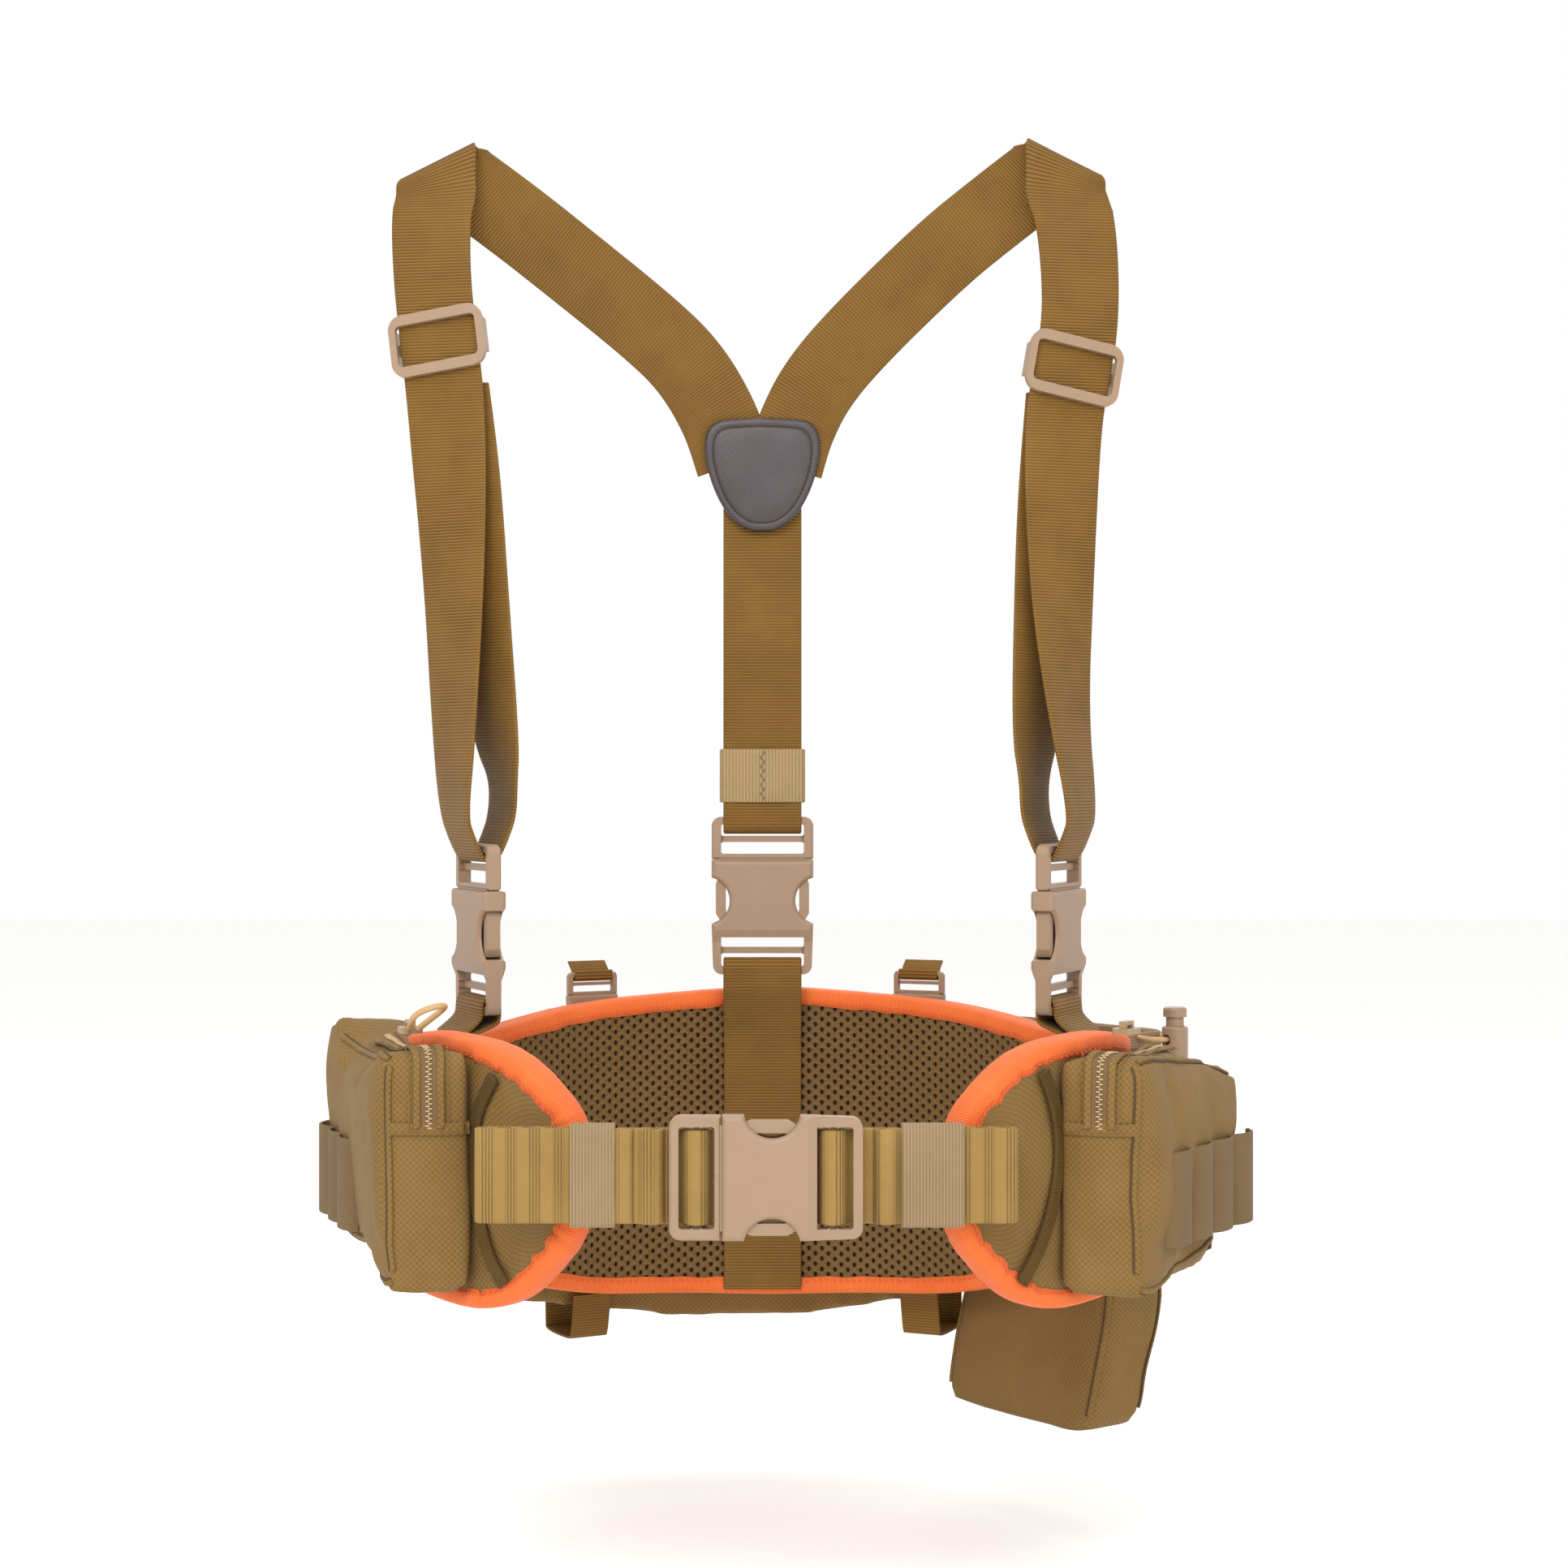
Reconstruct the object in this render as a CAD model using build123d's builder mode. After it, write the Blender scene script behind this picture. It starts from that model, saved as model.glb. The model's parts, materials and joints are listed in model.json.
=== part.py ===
"""Padded hunting waist belt with pouches and a webbing shoulder harness, in millimetres.

+Z is up, -Y is the front of the wearer, and +X is to the right seen from the front. The origin is the
centre of the ring that the belt makes, at the height of the middle of the front waist strap.
"""
import os
from math import asin, cos, degrees, hypot, pi, radians, sin

from build123d import *

os.makedirs("parts", exist_ok=True)

# ---------------------------------------------------------------- driving dimensions
web = 38.0              # wide webbing: waist strap and harness
web_thick = 1.6
small_web = 20.0        # webbing of the rear pouch straps
gap = 0.3               # clearance between pieces that only touch

ring_half_width = 146.0     # inner face of the belt
ring_half_depth = 125.0
mesh_thick = 2.0
foam_thick = 9.8
canvas_thick = 1.5
binding_thick = 1.5
# angle from the back, lowest and highest edge of the belt there
belt_edges = [(0, -94, 56), (35, -90, 50), (60, -76, 40), (90, -62, 42), (115, -60, 51),
              (135, -61, 49), (146, -45, 36), (151, -20, 14)]

buckle_seam_x = -17.5       # waist buckle
waist_buckle_y = -137.3
waist_wing_x = 69.5         # where the waist webbing leaves each belt wing
waist_fold_left = 116.0     # hairpin folds of the waist webbing
waist_fold_right = 100.0
waist_keeper_left = 18.0    # keeper lengths along the webbing
waist_keeper_right = 25.0

back_x = -3.5               # centre line of the back strap
back_buckle_y = 118.0
back_buckle_z = 119.0
side_buckle_x = 132.0
side_buckle_y = 25.0
side_buckle_z = 108.0
side_buckle_turn = 66.0     # degrees from facing forward to facing sideways

yoke_z = 306.0
yoke_wide = 56.0
yoke_tall = 55.0
yoke_thick = 2.2

slider_wide = 46.0
slider_tall = 30.0
slider_bar = 5.0

pouch_wall = 2.0
side_pouch_bottom = -57.0
side_pouch_top = 49.0
hang_wide = 104.0
hang_deep = 40.0
hang_bottom = -145.0
hang_top = 32.0
hang_angle = 38.0           # degrees from +X towards +Y that the hanging pouch faces
rear_deep = 40.0
rear_bottom = -114.0
rear_top = 39.0

loop_counts = (3, 4)        # elastic shell loops on the left and the right pouch
loop_shifts = (30.0, 10.0)  # how far behind the middle of its pouch each row of loops is
loop_pitch = 24.0
loop_height = 40.0
loop_bulge = 8.5
loop_bottom = -37.0
zip_wide = 14.0
zip_thick = 2.0
cord_thick = 2.6

belt_thick = mesh_thick + foam_thick + canvas_thick + 2 * 0.2
pouch_offset = belt_thick + 0.8 + gap
rear_offset = pouch_offset + 9.5


def save(name, part):
    """Label one sub-part and write it as its own STEP file."""
    part.label = name
    export_step(part, f"parts/{name}.step")


# ---------------------------------------------------------------- belt ring
def ring(angle, offset=0.0):
    """Point and outward normal of the belt ring at an angle from the back, offset outward."""
    turn = radians(angle)
    nx, ny = sin(turn) / ring_half_width, cos(turn) / ring_half_depth
    size = hypot(nx, ny)
    nx, ny = nx / size, ny / size
    return Vector(ring_half_width * sin(turn) + nx * offset, ring_half_depth * cos(turn) + ny * offset), \
        Vector(nx, ny)


def belt_edge(angle):
    """Lowest and highest edge of the belt at an angle, straight between the listed angles."""
    side = abs(angle)
    for (a0, low0, high0), (a1, low1, high1) in zip(belt_edges, belt_edges[1:]):
        if side <= a1:
            share = (side - a0) / (a1 - a0)
            return low0 + share * (low1 - low0), high0 + share * (high1 - high0)
    return belt_edges[-1][1:]


wing_end = belt_edges[-1][0]
coarse = [a for a in range(-140, 141, 10)]
ring_angles = [-wing_end, -146] + coarse + [146, wing_end]


def belt_layer(inner, outer, low_at, high_at):
    """Wall that follows the ring between two offsets; low_at and high_at give its edges by angle."""
    with BuildPart() as layer:
        for angle in ring_angles:
            point, normal = ring(angle)
            low, high = low_at(angle), high_at(angle)
            across = Plane(point, x_dir=normal, z_dir=Vector(normal.Y, -normal.X))
            with BuildSketch(across):
                with Locations(((inner + outer) / 2, (low + high) / 2)):
                    Rectangle(outer - inner, high - low)
        loft(ruled=True)
    return layer.part


def belt_low(angle):
    return belt_edge(angle)[0]


def belt_high(angle):
    return belt_edge(angle)[1]


foam_inner = mesh_thick + 0.2
canvas_inner = foam_inner + foam_thick + 0.2
with BuildPart() as lumbar_mesh:
    add(belt_layer(0, mesh_thick, belt_low, belt_high))
save("lumbar_mesh", lumbar_mesh.part)

with BuildPart() as belt_pad:
    add(belt_layer(foam_inner, foam_inner + foam_thick, belt_low, belt_high))
save("belt_pad", belt_pad.part)

with BuildPart() as belt_shell:
    add(belt_layer(canvas_inner, canvas_inner + canvas_thick, belt_low, belt_high))
save("belt_shell", belt_shell.part)

with BuildPart() as belt_binding:
    add(belt_layer(-0.8, belt_thick + 0.8, lambda a: belt_high(a) + 0.1,
                   lambda a: belt_high(a) + 0.1 + binding_thick))
    add(belt_layer(-0.8, belt_thick + 0.8, lambda a: belt_low(a) - 0.1 - binding_thick,
                   lambda a: belt_low(a) - 0.1))
save("belt_binding", belt_binding.part)


# ---------------------------------------------------------------- side-release buckle
# Drawn for wide webbing with the seam at y = 0, the plug half towards +y and z as its thickness, then
# scaled to the webbing that it takes.
buckle_half = 24.75
plug_length = 21.0
socket_length = 55.7
collar = 8.6
scallop_end = 31.0
cavity_half_x = 23.3
cavity_half_z = 3.6
frame_half_z = 3.0
socket_half_z = 5.5
end_bar = 3.7
plug_bar_y = 10.2
socket_bar_y = -44.0
bar_half = 1.5
window_half = web / 2 + 1.2
root_x, root_y, root_r = 18.2, -4.5, 2.2


def frame_slots(low, high, bar_y):
    """Middle and height of the two slots that the webbing goes through, either side of a bar."""
    spans = ((low, bar_y - bar_half), (bar_y + bar_half, high))
    return [((y0 + y1) / 2, y1 - y0) for y0, y1 in spans]


def buckle_plug():
    """Plug half: webbing frame, mouth block with two prong seats, and the guide tongue."""
    with BuildPart() as plug:
        with BuildSketch(Plane.XY.offset(-frame_half_z)) as outline:
            with Locations((0, (plug_length + gap) / 2)):
                Rectangle(2 * buckle_half, plug_length - gap)
            fillet(outline.vertices().group_by(Axis.Y)[-1], 4.5)
            fillet(outline.vertices().group_by(Axis.Y)[0], 1.0)
        extrude(amount=2 * frame_half_z)
        chamfer(plug.faces().sort_by(Axis.Z)[-1].edges(), 0.9)
        chamfer(plug.faces().sort_by(Axis.Z)[0].edges(), 0.9)
        with BuildSketch(Plane.XY.offset(-frame_half_z - 1)):
            for middle, height in frame_slots(3.0, plug_length - end_bar, plug_bar_y):
                with Locations((0, middle)):
                    RectangleRounded(2 * window_half, height, 1.2)
        extrude(amount=2 * frame_half_z + 2, mode=Mode.SUBTRACT)
        with Locations((0, plug_bar_y, frame_half_z)):
            Box(2 * window_half, 2 * bar_half + 0.02, 2 * frame_half_z - 1, mode=Mode.SUBTRACT)
        with Locations((0, -1.8, 0)):
            Box(42, 5.4, 2 * frame_half_z)
        with Locations((0, -15.5, 0)):
            Box(6, 23, 4.4)
        with Locations((root_x, root_y, 0), (-root_x, root_y, 0)):
            Cylinder(root_r + gap, 3 * frame_half_z, mode=Mode.SUBTRACT)
    return plug.part


def buckle_socket():
    """Socket half: collar, body with a scallop at each side for the buttons, and webbing frame."""
    with BuildPart() as socket:
        with BuildSketch(Plane.XY.offset(-socket_half_z)) as outline:
            with BuildLine():
                Polyline((0, 0), (buckle_half, 0), (buckle_half, -collar))
                ThreePointArc((buckle_half, -collar), (16, -(collar + scallop_end) / 2),
                              (buckle_half, -scallop_end))
                Polyline((buckle_half, -scallop_end), (buckle_half - 0.8, -socket_length),
                         (0, -socket_length))
                mirror(about=Plane.YZ)
            make_face()
            fillet(outline.vertices().group_by(Axis.Y)[0], 4.5)
        extrude(amount=2 * socket_half_z)
        fillet(socket.faces().sort_by(Axis.Z)[-1].edges(), 2.2)
        fillet(socket.faces().sort_by(Axis.Z)[0].edges(), 2.2)
        frame_start = -34.0
        for side in (1, -1):
            with BuildSketch(Plane.YZ.offset(-30)):
                with BuildLine():
                    Polyline((frame_start, side * socket_half_z), (frame_start - 6, side * frame_half_z),
                             (-socket_length - 1, side * frame_half_z), (-socket_length - 1, side * 8),
                             (frame_start, side * 8), close=True)
                make_face()
            extrude(amount=60, mode=Mode.SUBTRACT)
        with BuildSketch(Plane.XY.offset(-frame_half_z - 1)):
            for middle, height in frame_slots(-socket_length + end_bar, -36, socket_bar_y):
                with Locations((0, middle)):
                    RectangleRounded(2 * window_half, height, 1.2)
        extrude(amount=2 * frame_half_z + 2, mode=Mode.SUBTRACT)
        with Locations((0, socket_bar_y, frame_half_z)):
            Box(2 * window_half, 2 * bar_half + 0.02, 2 * frame_half_z - 1, mode=Mode.SUBTRACT)
        with BuildSketch(Plane.XZ):
            Rectangle(2 * cavity_half_x, 2 * cavity_half_z)
        extrude(amount=scallop_end, mode=Mode.SUBTRACT)
    return socket.part


def buckle_prong(side):
    """One springing prong with its thumb button, at +x or -x."""
    with BuildPart() as prong:
        with BuildSketch(Plane.XY.offset(-3.1)):
            with Locations((side * root_x, root_y)):
                Circle(root_r)
            with BuildLine():
                Polyline(*[(side * x, y) for x, y in (
                    (16.9, -5.5), (20.2, -5.5), (22.7, -11.5), (22.7, -26), (20.5, -29.5),
                    (17.2, -29.5), (17.9, -24), (17.9, -13))], close=True)
            make_face()
        extrude(amount=6.2)
    return prong.part


def at_seat(shape, seat, size=1.0):
    """Scaled copy of a piece that was drawn in a buckle's own frame, moved to its seat."""
    with BuildPart() as moved:
        with Locations(seat.location):
            add(shape if size == 1.0 else scale(shape, by=size, mode=Mode.PRIVATE))
    return moved.part


def folded_web(seat, points, size=1.0):
    """Webbing that bends only in the seat's y-z plane: points are (y, z), scaled with the buckle."""
    edge_on = Plane(seat.origin, x_dir=seat.y_dir, z_dir=seat.x_dir)
    with BuildPart() as strap:
        with BuildSketch(edge_on):
            with BuildLine():
                FilletPolyline(*[(y * size, z * size) for y, z in points], radius=0.9 * size)
            trace(line_width=web_thick * size)
        extrude(amount=web * size / 2, both=True)
    return strap.part


def end_wrap(edge, out):
    """Webbing round an end bar whose outer edge is at y = edge; out is +1 for the plug, -1 the socket."""
    near = [(-4.8, 4.2), (-6.8, 2.0), (-6.8, -2.0), (-4.8, -4.2)]
    return [(edge + out * step, z) for step, z in near]


def bar_arch(bar_y, out):
    """Webbing that comes in behind the frame, arches over its middle bar and goes back."""
    near = [(6.5, -4.3), (3.1, 1.6), (-3.1, 1.6), (-5.7, -2.4), (-5.2, -6.6)]
    return [(bar_y + out * step, z) for step, z in near]


plug, socket = buckle_plug(), buckle_socket()
prong_right, prong_left = buckle_prong(1), buckle_prong(-1)

# ---------------------------------------------------------------- waist strap and its buckle
waist_seat = Plane((buckle_seam_x, waist_buckle_y, 0), x_dir=(0, 0, 1), z_dir=(0, -1, 0))
for name, shape in (("waist_buckle_plug", plug), ("waist_buckle_socket", socket),
                    ("waist_prong_upper", prong_right), ("waist_prong_lower", prong_left)):
    with BuildPart() as waist_hardware:
        add(at_seat(shape, waist_seat))
    save(name, waist_hardware.part)

inner_z = -10.0         # layer that leaves the wing, behind the front layer
front_z = -4.3


def waist_web(bar_y, out, wing, fold, hem):
    """Waist webbing: wing, hairpin fold, front layer, arch over the buckle's bar, and hem."""
    path = [(wing, inner_z), (fold - out * 2.2, inner_z), (fold, inner_z + 2.8), (fold - out * 2.2, front_z)]
    return folded_web(waist_seat, path + bar_arch(bar_y, out) + [(hem, -6.6)])


hem_left = 42.0
hem_right = -70.5
with BuildPart() as waist_webbing_left:
    add(waist_web(plug_bar_y, 1, buckle_seam_x + waist_wing_x, buckle_seam_x + waist_fold_left, hem_left))
save("waist_webbing_left", waist_webbing_left.part)

with BuildPart() as waist_webbing_right:
    add(waist_web(socket_bar_y, -1, buckle_seam_x - waist_wing_x, buckle_seam_x - waist_fold_right,
                  hem_right))
save("waist_webbing_right", waist_webbing_right.part)


def keeper(seat, start, length, low_z, high_z):
    """Elastic loop round webbing layers between two heights over the seat, from start along y."""
    wall = 1.1
    side = web / 2 + 0.5
    with BuildPart() as loop:
        with BuildSketch(Plane(seat.origin + seat.y_dir * start, x_dir=seat.x_dir, z_dir=seat.y_dir)):
            with Locations((0, -(low_z + high_z) / 2)):
                RectangleRounded(2 * (side + wall), high_z - low_z + 2 * wall, 1.0)
                RectangleRounded(2 * side, high_z - low_z, 0.4, mode=Mode.SUBTRACT)
        extrude(amount=length)
    return loop.part


with BuildPart() as waist_keeper_l:
    add(keeper(waist_seat, hem_left + 0.8, waist_keeper_left, inner_z - 1.2, front_z + 1.2))
save("waist_keeper_left", waist_keeper_l.part)

with BuildPart() as waist_keeper_r:
    add(keeper(waist_seat, hem_right - 0.8 - waist_keeper_right, waist_keeper_right, inner_z - 1.2,
               front_z + 1.2))
save("waist_keeper_right", waist_keeper_r.part)

# ---------------------------------------------------------------- back strap and its buckle
back_seat = Plane((back_x, back_buckle_y, back_buckle_z), x_dir=(1, 0, 0), z_dir=(0, -1, 0))
for name, shape in (("back_buckle_plug", plug), ("back_buckle_socket", socket),
                    ("back_prong_right", prong_right), ("back_prong_left", prong_left)):
    with BuildPart() as back_hardware:
        add(at_seat(shape, back_seat))
    save(name, back_hardware.part)

back_strap_top = yoke_z - back_buckle_z - 8
back_fold = 58.0
with BuildPart() as back_strap:
    add(folded_web(back_seat, [(back_strap_top, 1.5), (80, 4.2)] + end_wrap(plug_length, 1)
                   + [(back_fold, -4.2)]))
save("back_strap", back_strap.part)

with BuildPart() as back_keeper:
    add(keeper(back_seat, 28.0, 26.0, -5.4, 5.4))
save("back_keeper", back_keeper.part)

lumbar_z = back_buckle_y - ring_half_depth + 3.0 + web_thick / 2 + gap
with BuildPart() as lumbar_webbing:
    add(folded_web(back_seat, [(-64, -4.2)] + end_wrap(-socket_length, -1)[::-1]
                   + [(-62, 4.2), (-88, lumbar_z), (belt_low(0) - back_buckle_z + 3, lumbar_z)]))
save("lumbar_webbing", lumbar_webbing.part)


# ---------------------------------------------------------------- harness side buckles and straps
def side_seat(side):
    """Frame of a harness side buckle: upright, its face turned from forward towards its own side."""
    turn = radians(side_buckle_turn)
    return Plane((side * side_buckle_x, side_buckle_y, side_buckle_z),
                 x_dir=(cos(turn), side * sin(turn), 0), z_dir=(side * sin(turn), -cos(turn), 0))


def level_across(degrees_turned, side):
    """Level width direction of a strap whose face is turned this far from forward to its own side."""
    return Vector(cos(radians(degrees_turned)), side * sin(radians(degrees_turned)), 0)


def ribbon(stations):
    """Webbing straight from station to station; a station is (centre, width direction)."""
    centres = [Vector(*centre) for centre, _ in stations]
    last = len(stations) - 1
    with BuildPart() as strap:
        for i, (_, across) in enumerate(stations):
            run = (centres[min(i + 1, last)] - centres[max(i - 1, 0)]).normalized()
            across = (across - run * across.dot(run)).normalized()
            with BuildSketch(Plane(centres[i], x_dir=across, z_dir=run)):
                Rectangle(web, web_thick)
        loft(ruled=True)
    return strap.part


# Front layer from above the buckle to the shoulder, then down the back to the yoke. The stretch through
# the slider is straight and flat. A station is (x, y, z, turn of the face, tilt of the width).
left_front = [(-144, 33, 180, 54), (-146, 50, 256, 37), (-151.5, 68, 332, 12), (-159.5, 76, 394, 12),
              (-160.5, 80, 425, 4)]
right_front = [(137, 36, 190, 56), (135.5, 50, 250, 34), (137.5, 66, 322, 14), (147.5, 73, 378, 14),
               (146, 79, 420, 5)]
left_crest = ((-158.5, 88, 452), 26)
right_crest = ((141, 88, 454), 26)
left_return = [(-124, 32, 172, 56), (-134, 48, 228, 38), (-143.5, 66, 300, 20), (-151, 75.5, 345, 12)]
right_return = [(122, 33, 176, 54), (128, 49, 232, 38), (134, 66, 292, 22), (139.5, 74.5, 340, 14)]

# Down the back from the crest: straight across the shoulder blade, then bending upright into the patch.
# A station is (x, y, z, tilt of the width).
left_fall = [(-145.5, 92.5, 443, 48), (-97.5, 102, 408, 52), (-58, 108.5, 377, 50), (-38.5, 112, 358.5, 43),
             (-24, 114.9, 334, 29), (-17, 114.9, 312, 20)]
right_fall = [(128, 92.5, 445, 48), (83, 101, 411, 50), (44, 107.5, 374, 46), (23, 110.5, 350, 37),
              (12, 112.9, 328, 24), (7, 112.9, 310, 17)]


def tilted_across(tilt, side):
    """Width direction of a strap lying in the back's plane, tilted up towards the spine."""
    return Vector(cos(radians(tilt)), 0, -side * sin(radians(tilt)))


def shoulder_strap(side, front, crest, back_layer, back_fall):
    """Whole shoulder strap: loop at the side buckle, front layer, shoulder fold and back diagonal."""
    seat = side_seat(side)
    start, spread = 36.0, 11.5
    lower = [(seat.origin + seat.y_dir * start + seat.z_dir * spread, seat.x_dir)]
    rise = [((x, y, z), level_across(turn, side)) for x, y, z, turn in front]
    (cx, cy, cz), crest_tilt = crest
    fold = [((cx, cy, cz), tilted_across(crest_tilt, side))]
    fall = [((x, y, z), tilted_across(tilt, side)) for x, y, z, tilt in back_fall]
    inner = [(seat.origin + seat.y_dir * start - seat.z_dir * spread, seat.x_dir)]
    inner += [((x, y, z), level_across(turn, side)) for x, y, z, turn in back_layer]
    with BuildPart() as strap:
        add(folded_web(seat, [(start, spread), (start - 12, spread - 2)] + end_wrap(plug_length, 1)
                       + [(start - 12, 2 - spread), (start, -spread)]))
        add(ribbon(lower + rise + fold + fall))
        add(ribbon(inner))
    return strap.part


yoke_y = 110.5
with BuildPart() as shoulder_strap_left:
    add(shoulder_strap(-1, left_front, left_crest, left_return, left_fall))
save("shoulder_strap_left", shoulder_strap_left.part)

with BuildPart() as shoulder_strap_right:
    add(shoulder_strap(1, right_front, right_crest, right_return, right_fall))
save("shoulder_strap_right", shoulder_strap_right.part)

for name, shape in (("side_buckle_plugs", plug), ("side_buckle_sockets", socket)):
    with BuildPart() as side_hardware:
        for side in (-1, 1):
            add(at_seat(shape, side_seat(side)))
    save(name, side_hardware.part)
for side, where in ((-1, "left"), (1, "right")):
    for shape, place in ((prong_right, "front" if side < 0 else "rear"),
                         (prong_left, "rear" if side < 0 else "front")):
        with BuildPart() as side_prong:
            add(at_seat(shape, side_seat(side)))
        save(f"{where}_prong_{place}", side_prong.part)

with BuildPart() as side_loops:
    for side in (-1, 1):
        foot = belt_high(85) + 2.2 - side_buckle_z
        add(folded_web(side_seat(side), [(foot, 13.2), (-58, 6.5)] + end_wrap(-socket_length, -1)
                       + [(-58.5, -4.2), (foot, 10.2)]))
save("side_loops", side_loops.part)

with BuildPart() as yoke_patch:
    with BuildSketch(Plane((back_x, yoke_y, yoke_z), x_dir=(1, 0, 0), z_dir=(0, -1, 0))) as outline:
        with BuildLine():
            Polyline((-yoke_wide * 0.47, yoke_tall / 2), (yoke_wide * 0.47, yoke_tall / 2),
                     (yoke_wide / 2, yoke_tall * 0.2), (yoke_wide * 0.26, -yoke_tall / 2),
                     (-yoke_wide * 0.26, -yoke_tall / 2), (-yoke_wide / 2, yoke_tall * 0.2), close=True)
        make_face()
        fillet(outline.vertices().group_by(Axis.Y)[-1], 7)
        fillet(outline.vertices().group_by(Axis.Y)[0], 13)
    extrude(amount=yoke_thick / 2, both=True)
save("yoke_patch", yoke_patch.part)


def slider_seat(low, high, share):
    """Frame of a strap slider: centred on the straight stretch, its long side across the strap."""
    run = (Vector(*high[:3]) - Vector(*low[:3])).normalized()
    side = 1 if low[0] > 0 else -1
    across = level_across(low[3], side)
    across = (across - run * across.dot(run)).normalized()
    centre = Vector(*low[:3]) + (Vector(*high[:3]) - Vector(*low[:3])) * share
    return Plane(centre, x_dir=across, z_dir=across.cross(run))


def strap_slider(seat):
    """Three-bar slider: end bars in front of the strap, middle bar behind it, rails beside it."""
    front, reach = web_thick / 2 + 0.5, 3.0
    rail = (slider_wide - web - 1.4) / 2
    with BuildPart() as slider:
        with BuildSketch(Plane.XY.offset(front)):
            RectangleRounded(slider_wide, slider_tall, 7)
            RectangleRounded(slider_wide - 2 * rail, slider_tall - 2 * slider_bar, 2.5, mode=Mode.SUBTRACT)
        extrude(amount=reach)
        for x in (-1, 1):
            with Locations((x * (slider_wide - rail) / 2, 0, 0)):
                Box(rail, slider_tall - 14, 2 * (front + reach) - 1.6)
        with Locations((0, 0, -front - reach / 2)):
            Box(slider_wide - rail, slider_bar, reach)
    return at_seat(slider.part, seat)


for name, front in (("strap_slider_left", left_front), ("strap_slider_right", right_front)):
    with BuildPart() as slider_here:
        add(strap_slider(slider_seat(front[2], front[3], 0.52)))
    save(name, slider_here.part)


# ---------------------------------------------------------------- side pouches
left_face = ((-156.0, -100.0), (-200.0, 30.0))      # outer face, front corner then rear corner
right_face = ((152.0, -105.0), (213.0, 0.0))


def plan_outline(angles, face):
    """Pouch footprint: against the belt ring on the inside, a straight face on the outside."""
    inner = [ring(a, pouch_offset)[0] for a in angles]
    return [(p.X, p.Y) for p in inner] + [face[1], face[0]]


def face_plane(face, z):
    """Plane on a pouch's outer face: x along it towards the rear, y outward, at height z."""
    (x0, y0), (x1, y1) = face
    along = Vector(x1 - x0, y1 - y0).normalized()
    normal = Vector(along.Y, -along.X) if x0 > 0 else Vector(-along.Y, along.X)
    middle = ((x0 + x1) / 2, (y0 + y1) / 2, z)
    return Plane(middle, x_dir=along, z_dir=along.cross(normal))


def side_pouch(angles, face, mouth):
    """Boxy pouch with hollow inside and a mouth slot under its zip; mouth is the zip's straight line."""
    outline = plan_outline(angles, face)
    with BuildPart() as pouch:
        with BuildSketch(Plane.XY.offset(side_pouch_bottom)):
            with BuildLine():
                Polyline(*outline, close=True)
            make_face()
        extrude(amount=side_pouch_top - side_pouch_bottom)
        fillet(pouch.edges().filter_by(Axis.Z).sort_by(SortBy.DISTANCE)[-2:], 7)
        with BuildSketch(Plane.XY.offset(side_pouch_bottom + pouch_wall)):
            with BuildLine():
                Polyline(*outline, close=True)
            make_face()
            offset(amount=-pouch_wall, kind=Kind.INTERSECTION)
        extrude(amount=side_pouch_top - side_pouch_bottom - 2 * pouch_wall, mode=Mode.SUBTRACT)
        with BuildSketch(Plane.XY.offset(side_pouch_top - pouch_wall - 1)):
            with BuildLine():
                Line(*mouth)
            trace(line_width=zip_wide - 6)
        extrude(amount=pouch_wall + 2, mode=Mode.SUBTRACT)
    return pouch.part


def shifted(face, inward, trim):
    """Straight line beside a pouch's outer face, moved inward and shortened at both ends."""
    (x0, y0), (x1, y1) = face
    length = hypot(x1 - x0, y1 - y0)
    ux, uy = (x1 - x0) / length, (y1 - y0) / length
    side = -1 if x0 > 0 else 1
    ix, iy = side * uy * inward, -side * ux * inward
    return (x0 + ux * trim + ix, y0 + uy * trim + iy), (x1 - ux * trim + ix, y1 - uy * trim + iy)


left_mouth = shifted(left_face, 14.5, 15)
right_mouth = shifted(right_face, 15, 12)
with BuildPart() as side_pouch_left:
    add(side_pouch([-133, -124, -116, -108, -100, -92, -84], left_face, left_mouth))
save("side_pouch_left", side_pouch_left.part)

with BuildPart() as side_pouch_right:
    add(side_pouch([133, 124, 116, 108, 101], right_face, right_mouth))
save("side_pouch_right", side_pouch_right.part)

with BuildPart() as side_pouch_zips:
    for mouth in (left_mouth, right_mouth):
        with BuildSketch(Plane.XY.offset(side_pouch_top + gap)):
            with BuildLine():
                Line(*mouth)
            trace(line_width=zip_wide)
        extrude(amount=zip_thick)
save("side_pouch_zips", side_pouch_zips.part)

with BuildPart() as shell_loops:
    for face, count, shift in zip((left_face, right_face), loop_counts, loop_shifts):
        base = face_plane(face, loop_bottom)
        flip = 1 if base.z_dir.Z > 0 else -1
        places = [(shift + loop_pitch * (i - (count - 1) / 2), gap) for i in range(count)]
        with BuildSketch(base):
            with Locations(*places):
                Ellipse(loop_pitch / 2 + 0.4, loop_bulge)
            with Locations(*places):
                Ellipse(loop_pitch / 2 - 1.2, loop_bulge - 1.5, mode=Mode.SUBTRACT)
            with Locations((shift, gap + 0.6)):
                Rectangle(count * loop_pitch + 6, 1.2)
            with Locations((shift, gap - 10)):
                Rectangle(count * loop_pitch + 20, 20, mode=Mode.SUBTRACT)
        extrude(amount=flip * loop_height)
save("shell_loops", shell_loops.part)


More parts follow.
